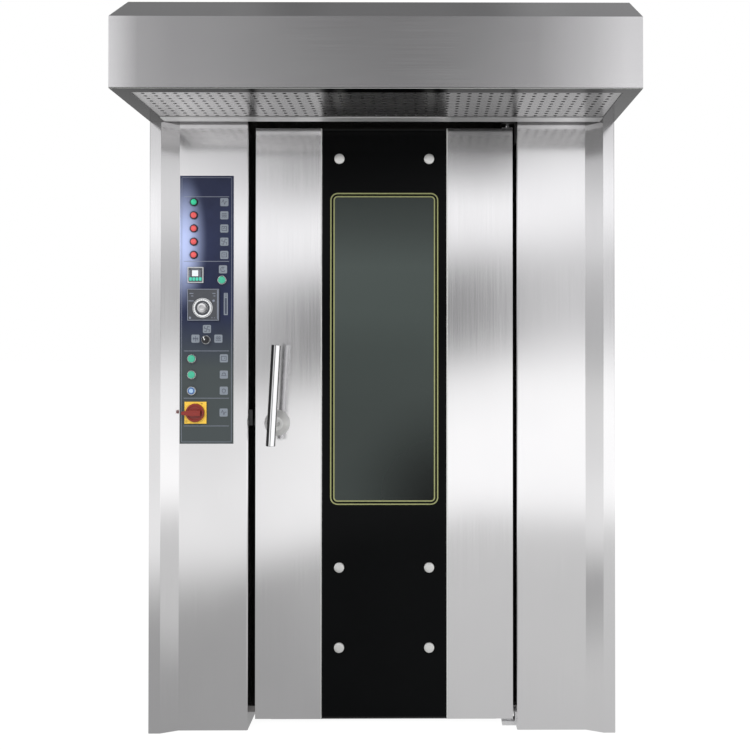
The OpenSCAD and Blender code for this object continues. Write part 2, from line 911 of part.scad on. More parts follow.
// The water pipe through the roof, its valve and its inlet stub
module water_feed() {
    x = cascade_x0 + cascade_w / 2;
    valve = 1.6 * pipe_d;
    z_valve = body_h + pipe_d / 2;
    spray_z = cascade_z0 + cascade_steps * cascade_pitch + 2 * pipe_d;
    color("goldenrod") {
        upright(x, y_fan, spray_z, z_valve, pipe_d);
        upright(x, y_fan, body_h, body_h + pipe_d / 4, 2.2 * pipe_d);
        slab([x - 0.8 * valve, y_fan - valve / 2, z_valve], [x + 0.8 * valve, y_fan + valve / 2, z_valve + valve]);
        upright(x, y_fan, z_valve + valve, z_valve + 2.2 * valve, valve);
        upright(x, y_fan, z_valve + 2.2 * valve, z_valve + 2.4 * valve, 0.6 * valve);
        along_x(x - 0.8 * valve - stub_len, x - 0.8 * valve, y_fan, z_valve + valve / 2, pipe_d);
    }
}

module steam_duct() {
    lift = duct_top - z_ceiling;
    color("silver")
        translate([steam_x, y_mid, z_ceiling])
            difference() {
                union() {
                    cylinder(h = lift, d = steam_d);
                    translate([0, 0, lift - steam_collar_h])
                        cylinder(h = steam_collar_h, d = steam_d + 2 * duct_t);
                }
                translate([0, 0, -1])
                    cylinder(h = lift + 2, d = steam_d - 2 * duct_t);
                translate([-steam_d, 0, damper_z - z_ceiling])
                    rotate([0, 90, 0])
                        cylinder(h = 2 * steam_d, d = damper_rod_d + 2 * running);
            }
}

// A butterfly flap on a cross shaft, with its lever outside the duct
module steam_damper() {
    color("darkorange")
        translate([steam_x, y_mid, damper_z]) {
            cylinder(h = 3, d = steam_d - 2 * duct_t - 3, center = true);
            rotate([0, 90, 0])
                cylinder(h = steam_d + 40, d = damper_rod_d, center = true);
            translate([steam_d / 2 + 10, 0, 0])
                rotate([90, 0, 90])
                    linear_extrude(5)
                        difference() {
                            hull() {
                                circle(d = 2 * damper_rod_d);
                                translate([46, 0])
                                    circle(d = damper_rod_d + 2);
                            }
                            translate([46, 0])
                                circle(d = 5);
                        }
        }
}

module hood_exhaust() {
    color("silver")
        translate([0, exhaust_y, z_roof]) {
            difference() {
                union() {
                    cylinder(h = exhaust_rise + sheet_t, d = exhaust_d);
                    translate([0, 0, sheet_t])
                        cylinder(h = 3, d = exhaust_d + 40);
                }
                translate([0, 0, -1])
                    cylinder(h = exhaust_rise + sheet_t + 2, d = exhaust_d - 2 * duct_t);
            }
        }
}

// ---------------------------------------------------------------- rack drive

module bearing_housing() {
    flange = 150;
    color("slategray")
        translate([0, y_mid, body_h])
            difference() {
                union() {
                    translate([-flange / 2, -flange / 2, 0])
                        cube([flange, flange, bearing_flange_t]);
                    translate([0, 0, bearing_flange_t])
                        cylinder(h = bearing_h - bearing_flange_t, d1 = 110, d2 = 90);
                }
                translate([0, 0, -1])
                    cylinder(h = bearing_h + 2, d = shaft_d + 2 * running);
                for (a = [45:90:315])
                    rotate([0, 0, a])
                        translate([85, 0, -1])
                            cylinder(h = bearing_flange_t + 2, d = 11);
            }
}

module gear_motor() {
    half = gear_case_w / 2;
    ring_t = 14;
    color("steelblue")
        translate([0, y_mid, body_h + bearing_h])
            difference() {
                union() {
                    translate([-half, -half, 0])
                        cube([gear_case_w, gear_case_w, gear_case_h]);
                    translate([0, 0, gear_case_h])
                        cylinder(h = ring_t / 2, d = 0.8 * gear_case_w);
                    translate([-half, 0, gear_case_h / 2])
                        rotate([0, -90, 0]) {
                            cylinder(h = ring_t, d = gear_motor_d);
                            translate([0, 0, ring_t])
                                finned_body(gear_motor_d, gear_motor_len, 10);
                            translate([0, 0, ring_t + gear_motor_len])
                                cylinder(h = gear_motor_d / 4, d1 = gear_motor_d, d2 = 0.85 * gear_motor_d);
                        }
                    translate([-half - 0.9 * gear_motor_len, -gear_motor_d / 4, gear_case_h / 2 + gear_motor_d / 3])
                        cube([gear_motor_len / 2, gear_motor_d / 2, gear_motor_d / 2.5]);
                }
                translate([0, 0, -1])
                    cylinder(h = 61, d = shaft_d + 2 * running);
            }
}

// The driven shaft with its hub, ribs and crossbar, and two hooks that lift a trolley's top frame
module rack_carrier() {
    bar_z = passage_z + shaft_d / 2 + 2 + hook_drop;
    hub_d = shaft_d + 30;
    hub_h = 2 * crossbar_t;
    half = crossbar_len / 2;
    color("gray")
        translate([0, y_mid, 0]) {
            upright(0, 0, bar_z + crossbar_t / 2, body_h + bearing_h + 50, shaft_d);
            upright(0, 0, bar_z + crossbar_t / 2, bar_z + crossbar_t + hub_h, hub_d);
            slab([-half, -crossbar_w / 2, bar_z], [half, crossbar_w / 2, bar_z + crossbar_t]);
            for (side = [0, 1])
                mirror([side, 0, 0]) {
                    translate([0, hook_t / 2, bar_z + crossbar_t - 1])
                        rotate([90, 0, 0])
                            linear_extrude(hook_t)
                                polygon([
                                    [hub_d / 3, 0], [half * 0.7, 0], [half * 0.7, hook_t / 2],
                                    [hub_d / 2, hub_h], [hub_d / 3, hub_h]
                                ]);
                    translate([0, crossbar_w / 2, 0])
                        rotate([90, 0, 0])
                            linear_extrude(crossbar_w)
                                folded([
                                    [half - hook_t, bar_z + 1],
                                    [half - hook_t, bar_z - hook_drop + hook_t],
                                    [half - 6 * hook_t, bar_z - hook_drop + hook_t],
                                    [half - 6 * hook_t, bar_z - hook_drop + 2.6 * hook_t]
                                ], hook_t);
                }
        }
}

// ---------------------------------------------------------------- controls

// Holes that the plate and the column behind it share
module panel_drills(y0, y1) {
    for (at = lamps_at)
        along_y(at.x, y0, y1, at.y, lamp_d + 2 * running);
    for (at = concat([start_at, selector_at], push_at))
        along_y(at.x, y0, y1, at.y, button_d + 2 * running);
    for (hole = [[timer_at, timer_size], [thermostat_at, thermostat_size], [switch_at, switch_size]])
        slab([hole[0].x - hole[1] / 2 + 3, y0, hole[0].y - hole[1] / 2 + 3],
            [hole[0].x + hole[1] / 2 - 3, y1, hole[0].y + hole[1] / 2 - 3]);
}

module control_plate() {
    color("midnightblue")
        difference() {
            slab([plate_x0, y_plate, plate_z], [plate_x0 + plate_w, y_main, plate_z + plate_h]);
            panel_drills(y_plate - 1, y_main + 1);
        }
}

module control_box() {
    margin = 8;
    depth = 108;
    x0 = plate_x0 + 8;
    x1 = plate_x0 + plate_w + margin;
    color("lightgray")
        difference() {
            slab([x0, y_inside, plate_z - margin], [x1, y_inside + depth, plate_z + plate_h + margin]);
            slab([x0 + sheet_t, y_inside - 1, plate_z - margin + sheet_t],
                [x1 - sheet_t, y_inside + depth - sheet_t, plate_z + plate_h + margin - sheet_t]);
        }
}

// A bezel, a domed lens and the lamp's body through the plate
module pilot_lamps() {
    for (i = [0:4])
        translate([lamps_at[i].x, y_plate, lamps_at[i].y])
            rotate([90, 0, 0])
                color(i == 4 ? "green" : "red")
                    rotate_extrude()
                        polygon([
                            [0, -1.9 * lamp_d], [lamp_d / 2, -1.9 * lamp_d], [lamp_d / 2, 0],
                            [lamp_d / 2 + 4, 0], [lamp_d / 2 + 4, 3], [lamp_d / 2 + 2, 5], [lamp_d / 2, 5],
                            [lamp_d / 2 - 1.5, 8], [lamp_d / 4, 10.5], [0, 11]
                        ]);
}

// A square instrument: front frame on the plate and its case behind
module instrument(at, size, front, depth) {
    difference() {
        union() {
            slab([at.x - size / 2, y_plate - front, at.y - size / 2], [at.x + size / 2, y_plate, at.y + size / 2]);
            slab([at.x - size / 2 + 3, y_plate, at.y - size / 2 + 3],
                [at.x + size / 2 - 3, y_plate + depth, at.y + size / 2 - 3]);
        }
        slab([at.x - size / 2 + 3, y_plate - front - 1, at.y - size / 2 + 3],
            [at.x + size / 2 - 3, y_plate - front + 1.5, at.y + size / 2 - 3]);
    }
}

module timer() {
    color("lightgray")
        instrument(timer_at, timer_size, 5, 62);
}

module thermostat() {
    color("dimgray")
        difference() {
            instrument(thermostat_at, thermostat_size, 6, 78);
            along_y(dial_at.x, y_plate - 7, y_plate + 20, dial_at.y, 6 + 2 * running);
        }
}

module thermostat_dial() {
    front = y_plate - 6 + 1.5;
    color("white")
        translate([dial_at.x, front - clear, dial_at.y])
            rotate([90, 0, 0]) {
                rotate_extrude()
                    polygon([
                        [0, 0], [dial_d / 2, 0], [dial_d / 2, 2.5], [dial_d / 2 - 1.5, 4],
                        [14.5, 4], [14, 13], [12.5, 15], [0, 15]
                    ]);
                translate([0, 0, -16])
                    cylinder(h = 16, d = 6);
            }
}

module main_switch() {
    front = 5;
    color("gold")
        difference() {
            union() {
                slab([switch_at.x - switch_size / 2, y_plate - front, switch_at.y - switch_size / 2],
                    [switch_at.x + switch_size / 2, y_plate, switch_at.y + switch_size / 2]);
                slab([switch_at.x - switch_size / 2 + 3, y_plate, switch_at.y - switch_size / 2 + 3],
                    [switch_at.x + switch_size / 2 - 3, y_plate + 60, switch_at.y + switch_size / 2 - 3]);
            }
            along_y(switch_at.x, y_plate - front - 1, y_plate + 20, switch_at.y, 10 + 2 * running);
        }
}

// The round knob with its grip bar, pointing at the latch side of the plate
module main_switch_knob() {
    r = switch_knob_d / 2;
    color("firebrick")
        translate([switch_at.x, y_plate - 5 - clear, switch_at.y])
            rotate([90, 0, 0]) {
                rotate_extrude()
                    polygon([[0, 0], [r, 0], [r, 8], [r - 2, 10], [0, 10]]);
                translate([0, 0, 10])
                    linear_extrude(15)
                        polygon([[-r - 9, -5], [-r - 9, 5], [-4, 9], [r - 9, 8], [r - 9, -8], [-4, -9]]);
                translate([0, 0, -14])
                    cylinder(h = 14, d = 10);
            }
}

// A push-button's collar, its sleeve through the plate and the contact block behind
module button_unit(at) {
    sleeve = 1.5 * stem_len;
    translate([at.x, y_plate, at.y])
        rotate([90, 0, 0])
            difference() {
                union() {
                    rotate_extrude()
                        polygon([
                            [0, -sleeve], [button_d / 2, -sleeve], [button_d / 2, 0], [collar_d / 2, 0],
                            [collar_d / 2, 3], [collar_d / 2 - 2, 7], [0, 7]
                        ]);
                    translate([-contact_w / 2, -contact_h / 2, -sleeve - contact_d])
                        cube([contact_w, contact_h, contact_d + 1]);
                }
                translate([0, 0, collar_floor])
                    cylinder(h = 7, d = button_d + 2 * clear);
                translate([0, 0, -stem_len])
                    cylinder(h = stem_len + 1, d = stem_d + 2 * clear);
            }
}

module button_units() {
    color("silver")
        for (at = concat([start_at, selector_at], push_at))
            button_unit(at);
}

// A push-button's head and stem, held clear of the collar's floor by its travel
module push_button(at) {
    rest = collar_floor + button_travel + clear;
    translate([at.x, y_plate, at.y])
        rotate([90, 0, 0]) {
            rotate_extrude()
                polygon([
                    [0, rest], [button_d / 2, rest],
                    [button_d / 2, 8.5], [button_d / 2 - 1.5, 10], [0, 10.4]
                ]);
            translate([0, 0, button_travel + clear - stem_len])
                cylinder(h = stem_len + 2, d = stem_d);
        }
}

module start_button() {
    color("mediumseagreen")
        push_button(start_at);
}

module upper_button() {
    color("mediumseagreen")
        push_button(push_at[0]);
}

module middle_button() {
    color("mediumseagreen")
        push_button(push_at[1]);
}

module lower_button() {
    color("lightblue")
        push_button(push_at[2]);
}

module selector_knob() {
    color("black")
        translate([selector_at.x, y_plate, selector_at.y])
            rotate([90, 0, 0]) {
                rotate_extrude()
                    polygon([
                        [0, collar_floor + clear], [button_d / 2, collar_floor + clear], [button_d / 2, 9],
                        [selector_d / 2 - 1, 11], [selector_d / 2 - 2, 20], [0, 20]
                    ]);
                translate([0, 0, 1 - stem_len])
                    cylinder(h = stem_len + 1, d = stem_d);
            }
}

// ---------------------------------------------------------------- door

// Upper plate under the header and lower plate on the floor, each with a leg on the jamb
module hinge_brackets() {
    leg_t = 3;
    x0 = hinge_x - hinge_plate_in;
    y0 = hinge_y - hinge_plate_half;
    y1 = hinge_y + hinge_plate_half;
    upper = z_head - hinge_plate_t;
    lower = door_z0 - 5;
    color("gray") {
        difference() {
            union() {
                slab([x0, y0, upper], [jamb_x, y1, z_head]);
                slab([jamb_x - leg_t, y0, upper - hinge_leg_h], [jamb_x, y1, upper]);
            }
            hinge_bore(upper - 1, z_head + 1, running);
            jamb_screws(upper - hinge_leg_h / 2, leg_t);
        }
        difference() {
            union() {
                slab([x0, y0, 0], [jamb_x, y1, lower]);
                slab([jamb_x - leg_t, y0, lower], [jamb_x, y1, lower + hinge_leg_h / 2]);
            }
            hinge_bore(-1, door_z0, running);
            jamb_screws(lower + hinge_leg_h / 4, leg_t);
        }
    }
}

// Two screw holes side by side through a leg on the jamb
module jamb_screws(z, leg_t) {
    for (y = [-0.5, 0.5])
        along_x(jamb_x - leg_t - 1, jamb_x + 1, hinge_y + y * hinge_plate_half, z, 6);
}

module latch_keeper() {
    color("gray")
        difference() {
            slab([-jamb_x, y_door + 6, spindle_z - 8], [-jamb_x + 5, y_door + 40, spindle_z + 40]);
            for (z = [spindle_z, spindle_z + 32])
                translate([-jamb_x - 1, y_door + 34, z])
                    rotate([0, 90, 0])
                        cylinder(h = 7, d = 5);
        }
}

module door_slab(y0, y1, inset) {
    slab([door_x0 + inset, y0, door_z0 + inset], [door_x1 - inset, y1, door_z1 - inset]);
}

// The window's space, wider than the clear glass by grow on every side
module window_slab(y0, y1, grow) {
    slab([window_x0 - grow, y0, window_z - grow], [window_x1 + grow, y1, window_z1 + grow]);
}

// The folded pan with its window collar, the spindle's bore and the welded hinge pins
module door_pan() {
    plate_x = hinge_x - hinge_plate_in;
    plate_y = hinge_y + 2.2 * hinge_plate_half;
    color("silver") {
        difference() {
            union() {
                difference() {
                    door_slab(y_pan, y_pan_back, 0);
                    door_slab(y_pan + pan_t, y_pan_back + 1, pan_t);
                }
                window_slab(y_pan, y_pan_back, collar_gap + pan_t);
            }
            window_slab(y_pan - 1, y_pan_back + 1, collar_gap);
            along_y(spindle_x, y_pan - 1, y_pan + pan_t + 1, spindle_z, spindle_d + 2 * running);
            slab([door_x0 - 1, y_tongue - 4, spindle_z - tongue_w / 2 - 5],
                [door_x0 + pan_t + 1, y_tongue + tongue_t + 6, spindle_z + spindle_in]);
        }
        slab([plate_x, y_door + hinge_play, door_z1], [door_x1, plate_y, door_z1 + hinge_leaf_t]);
        hinge_stub(door_z1 + hinge_leaf_t, z_head - hinge_play);
        slab([plate_x, y_door + hinge_play, door_z0 - hinge_leaf_t], [door_x1, plate_y, door_z0]);
        hinge_stub(hinge_play, door_z0 - hinge_leaf_t);
    }
}

module hinge_stub(z0, z1) {
    upright(hinge_x, hinge_y, z0, z1, hinge_pin_d);
}

module cladding_tray(x0, x1) {
    difference() {
        slab([x0, y_door, door_z0], [x1, y_pan, door_z1]);
        slab([x0 + cladding_t, y_door + cladding_t, door_z0 + cladding_t],
            [x1 - cladding_t, y_pan + 1, door_z1 - cladding_t]);
    }
}

// The two steel trays that dress the pan on either side of the glass
module door_claddings() {
    color("gainsboro") {
        difference() {
            cladding_tray(door_x0, glass_x0 - glass_gap);
            along_y(spindle_x, y_door - 1, y_pan, spindle_z, neck_d + 4);
        }
        cladding_tray(glass_x1 + glass_gap, door_x1);
    }
}

module door_glass() {
    color("black")
        slab([glass_x0, y_pan - glass_t, door_z0 + glass_inset], [glass_x1, y_pan, door_z1 - glass_inset]);
}

module stand_off_caps() {
    r = cap_d / 2;
    color("silver")
        for (x = [-1, 1])
            for (z = [cap_low_z, cap_mid_z, door_z1 - cap_head])
                translate([door_cx + x * cap_span / 2, y_pan - glass_t, z])
                    rotate([90, 0, 0])
                        rotate_extrude()
                            polygon([[0, 0], [r, 0], [r, cap_h - 2.5], [r - 2.5, cap_h], [0, cap_h]]);
}

// Mineral wool that fills the pan round the window collar and the latch
module door_insulation() {
    latch_half = 100;
    latch_deep = 36;
    color("khaki")
        difference() {
            door_slab(y_pan + pan_t, y_pan_back, pan_t);
            window_slab(y_pan, y_pan_back + 1, collar_gap + pan_t);
            slab([door_x0, y_pan, spindle_z - latch_half],
                [spindle_x + spindle_in / 2, y_pan + latch_deep, spindle_z + latch_half]);
        }
}

module inner_panel() {
    color("silver")
        difference() {
            door_slab(y_pan_back, y_back, 0);
            window_slab(y_pan_back - 1, y_back + 1, collar_gap - pane_lip);
        }
}

module inner_pane() {
    color("lightcyan")
        window_slab(y_pan_back - pane_t, y_pan_back, collar_gap);
}

// The gasket on three sides of the inner face and the sweep along its foot
module door_seals() {
    x0 = door_x0 + 8;
    x1 = hinge_x - 6;
    z1 = door_z1 - 12;
    foot = door_z0 + 8;
    color("darkslategray") {
        difference() {
            slab([x0, y_back, foot], [x1, y_frame - clear, z1]);
            slab([x0 + gasket_w, y_back - 1, foot - 1], [x1 - gasket_w, y_frame, z1 - gasket_w]);
        }
        slab([-passage_w / 2, y_back, door_foot_gap - 2], [passage_w / 2, y_back + 4, door_z0 + 20]);
    }
}

// The cone that covers the spindle's bearing on the door's face
module rosette() {
    color("silver")
        translate([spindle_x, y_door, spindle_z])
            rotate([90, 0, 0])
                difference() {
                    rotate_extrude()
                        polygon([
                            [0, 0], [rosette_d / 2, 0], [rosette_d / 2, 3],
                            [rosette_nose_d / 2, rosette_h - 2], [rosette_nose_d / 2 - 2, rosette_h],
                            [0, rosette_h]
                        ]);
                    translate([0, 0, -1])
                        cylinder(h = rosette_h + 2, d = neck_d + 2 * running);
                }
}

// Bar, neck, spindle and latch tongue, which turn together
module door_handle() {
    color("lightgray")
        translate([spindle_x, 0, spindle_z]) {
            rotate([0, bar_lean, 0])
                translate([0, y_door - bar_standoff, bar_rise - bar_len / 2])
                    cylinder(h = bar_len, d = bar_d);
            along_y(0, y_door - bar_standoff, y_door, 0, neck_d);
            along_y(0, y_door, y_tongue + tongue_t, 0, spindle_d);
            along_y(0, y_tongue, y_tongue + tongue_t, 0, spindle_d + 12);
            slab([-spindle_in - 8, y_tongue, -tongue_w / 2], [0, y_tongue + tongue_t, tongue_w / 2]);
        }
}

base_rails();
chamber_floor();
threshold();
left_column();
right_column();
side_panels();
rear_panel();
service_cover();
roof_panel();
header_panel();
hood_shell();
hood_filter();
hood_gutter();
door_frame();
front_liner();
liner_walls();
ceiling();
wall_insulation();
roof_insulation();
air_outlet_wall();
heater_elements();
heater_racks();
fan_plate();
fan_wheel();
fan_motor();
steam_cascade();
water_feed();
steam_duct();
steam_damper();
hood_exhaust();
gear_motor();
bearing_housing();
rack_carrier();
chamber_lamps();
control_box();
control_plate();
pilot_lamps();
timer();
thermostat();
main_switch();
button_units();
start_button();
upper_button();
middle_button();
lower_button();
selector_knob();
thermostat_dial();
main_switch_knob();
hinge_brackets();
latch_keeper();
door_pan();
door_claddings();
door_glass();
stand_off_caps();
door_insulation();
inner_panel();
inner_pane();
door_seals();
rosette();
door_handle();
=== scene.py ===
import json
import math

import bmesh
import bpy
from bpy.props import FloatProperty, FloatVectorProperty, PointerProperty
from mathutils import Matrix, Vector

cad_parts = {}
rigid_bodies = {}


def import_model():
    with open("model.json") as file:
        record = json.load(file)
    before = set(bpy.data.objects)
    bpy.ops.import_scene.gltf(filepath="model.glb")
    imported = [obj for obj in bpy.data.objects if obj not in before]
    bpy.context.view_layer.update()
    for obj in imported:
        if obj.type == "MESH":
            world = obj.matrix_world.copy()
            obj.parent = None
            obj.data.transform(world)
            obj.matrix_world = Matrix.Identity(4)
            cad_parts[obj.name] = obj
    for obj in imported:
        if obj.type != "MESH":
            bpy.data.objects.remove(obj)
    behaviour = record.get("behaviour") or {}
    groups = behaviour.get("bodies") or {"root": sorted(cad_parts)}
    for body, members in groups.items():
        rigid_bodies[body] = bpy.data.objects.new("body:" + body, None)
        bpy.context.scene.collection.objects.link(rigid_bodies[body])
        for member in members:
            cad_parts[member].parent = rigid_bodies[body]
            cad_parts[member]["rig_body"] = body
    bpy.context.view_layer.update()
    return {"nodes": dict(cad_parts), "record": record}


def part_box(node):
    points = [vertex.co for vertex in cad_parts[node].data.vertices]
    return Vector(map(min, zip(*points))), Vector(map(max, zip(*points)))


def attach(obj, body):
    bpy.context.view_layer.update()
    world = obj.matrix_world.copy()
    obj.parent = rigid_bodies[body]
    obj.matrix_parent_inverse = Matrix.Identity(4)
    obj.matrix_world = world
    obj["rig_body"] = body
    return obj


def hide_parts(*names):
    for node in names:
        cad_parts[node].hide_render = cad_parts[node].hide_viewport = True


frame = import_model()

bl_info = {
    "name": "Rack oven dressing",
    "version": (1, 0, 0),
    "blender": (4, 5, 0),
    "location": "View3D > Sidebar > Oven",
    "description": "Dresses a rotating rack oven with folded steel, printed glass and its controls",
    "category": "Object",
}

# The pieces that the dressing sits on, from the frame
PLATE_LO, PLATE_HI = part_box("control_plate")
GLASS_LO, GLASS_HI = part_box("door_glass")
DOOR_LO, DOOR_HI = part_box("door_claddings")
HOOD_LO, HOOD_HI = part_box("hood_shell")
SLOTS = {entry["node"]: entry["material_slot"] for entry in frame["record"]["subparts"]}

# Thin layers and small distances, in metres
SHEET = 0.002  # the folded columns
PRINT = 0.0004  # printed marks
GLASS_GAP = 0.001  # from the glass to the pale strip beside it, a painted highlight
HIGHLIGHT_WIDTH = 0.0024  # that strip's width
HEM = 0.0025  # the hem under the hood's front, pale as a painted highlight
RECESS = 0.0015  # the floor of an instrument behind its rim
MOULDED_EDGE = 0.0007  # softening of the instruments' cases
CUT_EDGE = 0.0008  # softening of the plate and the switches
MARK = 0.0003  # marks on the knobs and the dial
WELD = 1e-6  # points nearer than this are one


def length(name, description, default, low, high):
    """A size that a user may change."""
    return FloatProperty(
        name=name, description=description, default=default, min=low, max=high, unit="LENGTH"
    )


def hue(name, description, default):
    """A colour that a user may change."""
    return FloatVectorProperty(
        name=name, description=description, default=default, min=0.0, max=1.0, subtype="COLOR"
    )


class RackOvenSizes(bpy.types.PropertyGroup):
    fold_radius: length(
        "Fold radius", "Outer radius of the folds in the front columns", 0.004, 0.002, 0.01
    )
    edge_radius: length("Edge radius", "Softening of the sheet edges", 0.0009, 0.0002, 0.002)
    window_corner: length("Window corner", "Corner radius of the clear window", 0.011, 0.0, 0.04)
    line_width: length(
        "Line width", "Width of the printed lines round the window", 0.0038, 0.001, 0.01
    )
    line_gap: length("Line gap", "Distance between the two printed lines", 0.0098, 0.004, 0.02)
    tile: length(
        "Pictogram tile", "Side of a pictogram tile on the control plate", 0.0245, 0.01, 0.04
    )


class RackOvenColours(bpy.types.PropertyGroup):
    steel: hue("Stainless steel", "Colour of the brushed sheets", (0.9, 0.893, 0.9))
    hood: hue("Hood steel", "Colour of the hood's sheets", (0.98, 0.965, 0.98))
    enamel: hue(
        "Glass enamel", "Colour printed behind the glass round the window", (0.0028, 0.003, 0.0032)
    )
    tint: hue("Window tint", "Colour of the clear window", (0.058, 0.07, 0.066))
    line: hue("Window line", "Colour of the two printed lines", (0.25, 0.26, 0.11))
    plate: hue("Control plate", "Colour of the control plate", (0.014, 0.019, 0.05))


# ---- node tools


def plug(socket, value):
    """Links an output to an input, or sets a number or colour on it."""
    if isinstance(value, bpy.types.NodeSocket):
        socket.id_data.links.new(value, socket)
    elif socket.type == "RGBA":
        socket.default_value = (*value, 1)
    else:
        socket.default_value = value


def wire(node, **values):
    """Plugs values into a node's inputs; an underscore stands for a space in a name."""
    for key, value in values.items():
        plug(node.inputs[key.replace("_", " ")], value)


def add(tree, kind, **values):
    """A node with its settings and inputs."""
    node = tree.nodes.new("ShaderNode" + kind)
    for key, value in values.items():
        if hasattr(node, key):
            setattr(node, key, value)
        else:
            wire(node, **{key: value})
    return node


def new_material(name):
    """An empty node material and its Principled shader."""
    mat = bpy.data.materials.new(name)
    mat.use_nodes = True
    mat.node_tree.nodes.clear()
    skin = add(mat.node_tree, "BsdfPrincipled")
    add(mat.node_tree, "OutputMaterial", Surface=skin.outputs["BSDF"])
    return mat, mat.node_tree, skin


def opened(mat):
    """A material's tree, its shader and what feeds the shader's colour."""
    skin = mat.node_tree.nodes["Principled BSDF"]
    return mat.node_tree, skin, skin.inputs["Base Color"].links[0].from_socket


def position(tree, scale):
    """Object coordinates stretched along each axis."""
    place = add(tree, "TexCoord").outputs["Object"]
    return add(tree, "Mapping", Scale=scale, Vector=place).outputs["Vector"]


def noise(tree, stretch, scale, detail, rough):
    """Noise in stretched object coordinates."""
    vector = position(tree, stretch)
    node = add(tree, "TexNoise", Vector=vector, Scale=scale, Detail=detail, Roughness=rough)
    return node.outputs["Fac"]


def rescale(tree, value, low=0.0, high=1.0, first=0.0, last=1.0, way="LINEAR"):
    """A value carried from low...high to first...last and held at their ends."""
    node = add(tree, "MapRange", interpolation_type=way, Value=value)
    wire(node, From_Min=low, From_Max=high, To_Min=first, To_Max=last)
    return node.outputs["Result"]


def maths(tree, operation, *values):
    """The result of a calculation on numbers and outputs."""
    node = add(tree, "Math", operation=operation)
    for socket, value in zip(node.inputs, values):
        plug(socket, value)
    return node.outputs[0]


def size_of(tree, vector):
    """The length of a vector."""
    node = add(tree, "VectorMath", operation="LENGTH")
    plug(node.inputs[0], vector)
    return node.outputs["Value"]


def parts_of(tree, kind):
    """The X, Y and Z of one kind of coordinates."""
    return add(tree, "SeparateXYZ", Vector=add(tree, "TexCoord").outputs[kind]).outputs


def along(tree, axis, low, high, kind="Object", first=0.0, last=1.0):
    """How far a surface point or its normal lies between two values of one axis."""
    return rescale(tree, parts_of(tree, kind)[axis], low, high, first, last)


def grey(level):
    """A neutral tone."""
    return (level, level, level)


def shade(colour, factor):
    """A colour made darker or lighter."""
    return tuple(min(1.0, c * factor) for c in colour)


def ramp(tree, source, stops):
    """A colour ramp whose stops are places, each with a colour or a level of grey."""
    node = add(tree, "ValToRGB", Fac=source)
    band = node.color_ramp
    band.elements.remove(band.elements[0])
    for i, (place, tone) in enumerate(stops):
        stop = band.elements.new(place) if i else band.elements[0]
        stop.position = place
        stop.color = (*(tone if isinstance(tone, tuple) else grey(tone)), 1)
    return node.outputs["Color"]


def blended(tree, factor, first, second, way="MIX"):
    """Two colours mixed; each input is an output or a plain value."""
    node = add(tree, "Mix", data_type="RGBA", blend_type=way)
    for slot, value in ((0, factor), (6, first), (7, second)):
        plug(node.inputs[slot], value)
    return node.outputs[2]


def dents(tree, height, strength, distance):
    """A bumpy normal."""
    node = add(tree, "Bump", Strength=strength, Distance=distance, Height=height)
    return node.outputs["Normal"]


def patch(tree, x, z, wide, tall):
    """A soft oval on a front face, 1 in its middle, 0 at its rim, where painted light or shade
    goes.
    """
    offset = add(tree, "VectorMath", operation="SUBTRACT")
    plug(offset.inputs[0], position(tree, (1 / wide, 0.0, 1 / tall)))
    plug(offset.inputs[1], (x / wide, 0.0, z / tall))
    reach = size_of(tree, offset.outputs["Vector"])
    return rescale(tree, reach, first=1.0, last=0.0, way="SMOOTHSTEP")


# ---- finishes

# Painted reflection and shade: stops across the hood, up the columns and round the handle
# bar, each a place from 0 to 1 and the share of the metal's colour there
HOOD_SHEEN = [
    (0.0, 1.0), (0.02, 0.85), (0.055, 0.56), (0.12, 0.5), (0.55, 0.46), (0.7, 0.5), (0.8, 0.56),
    (0.9, 0.78), (0.97, 1.0),
]
SLOPE_SHEEN = [
    (0.0, 0.2), (0.2, 0.22), (0.3, 0.31), (0.42, 0.5), (0.62, 0.51), (0.78, 0.4), (0.88, 0.34),
    (1.0, 0.38),
]
FILTER_SHEEN = [
    (0.015, 0.15), (0.04, 0.6), (0.1, 1.0), (0.2, 0.75), (0.3, 0.4), (0.36, 0.32), (0.375, 0.45),
    (0.63, 0.42), (0.645, 0.22), (0.75, 0.32), (0.95, 0.36), (0.985, 0.12),
]
GUTTER_SHEEN = [
    (0.1, 1.0), (0.3, 0.75), (0.37, 1.0), (0.63, 1.0), (0.65, 0.5), (0.8, 0.62), (0.9, 1.0),
    (0.97, 0.6),
]
# Painted shade up the columns' slanted folds: a place from the floor to the hood and the share of
# the colour
BEVEL_SHADE = [(0.4, 1.0), (0.55, 0.88), (0.65, 0.8), (0.78, 0.8), (0.9, 0.7)]
# Painted reflection round the handle bar: dark and bright bands by the way its surface faces
BAR_REFLECTION_BANDS = [
    (0.0, 0.05), (0.34, 0.04), (0.37, 1.0), (0.47, 1.0), (0.49, 0.1), (0.53, 0.1), (0.55, 1.0),
    (0.9, 1.0), (0.95, 0.25),
]
SLANTED_FACES = [
    (0.02, 0.0), (0.07, 1.0), (0.4, 1.0), (0.45, 0.0), (0.55, 0.0), (0.6, 1.0), (0.93, 1.0),
    (0.98, 0.0),
]
# Painted light and shade up the clear window: a place from its foot to its head and the share of
# the tint there
WINDOW_LIGHT_AND_SHADE = [
    (0.0, 0.68), (0.1, 0.66), (0.3, 0.69), (0.41, 0.77), (0.5, 0.84), (0.62, 1.0), (0.77, 1.03),
    (0.9, 0.72), (1.0, 0.6),
]
WINDOW_FOOT, WINDOW_HEAD = 0.68, 1.62
UPRIGHT_GRAIN = (420.0, 420.0, 3.5)
LEVEL_GRAIN = (3.5, 420.0, 420.0)
TURNED_GRAIN = (90.0, 90.0, 8.0)


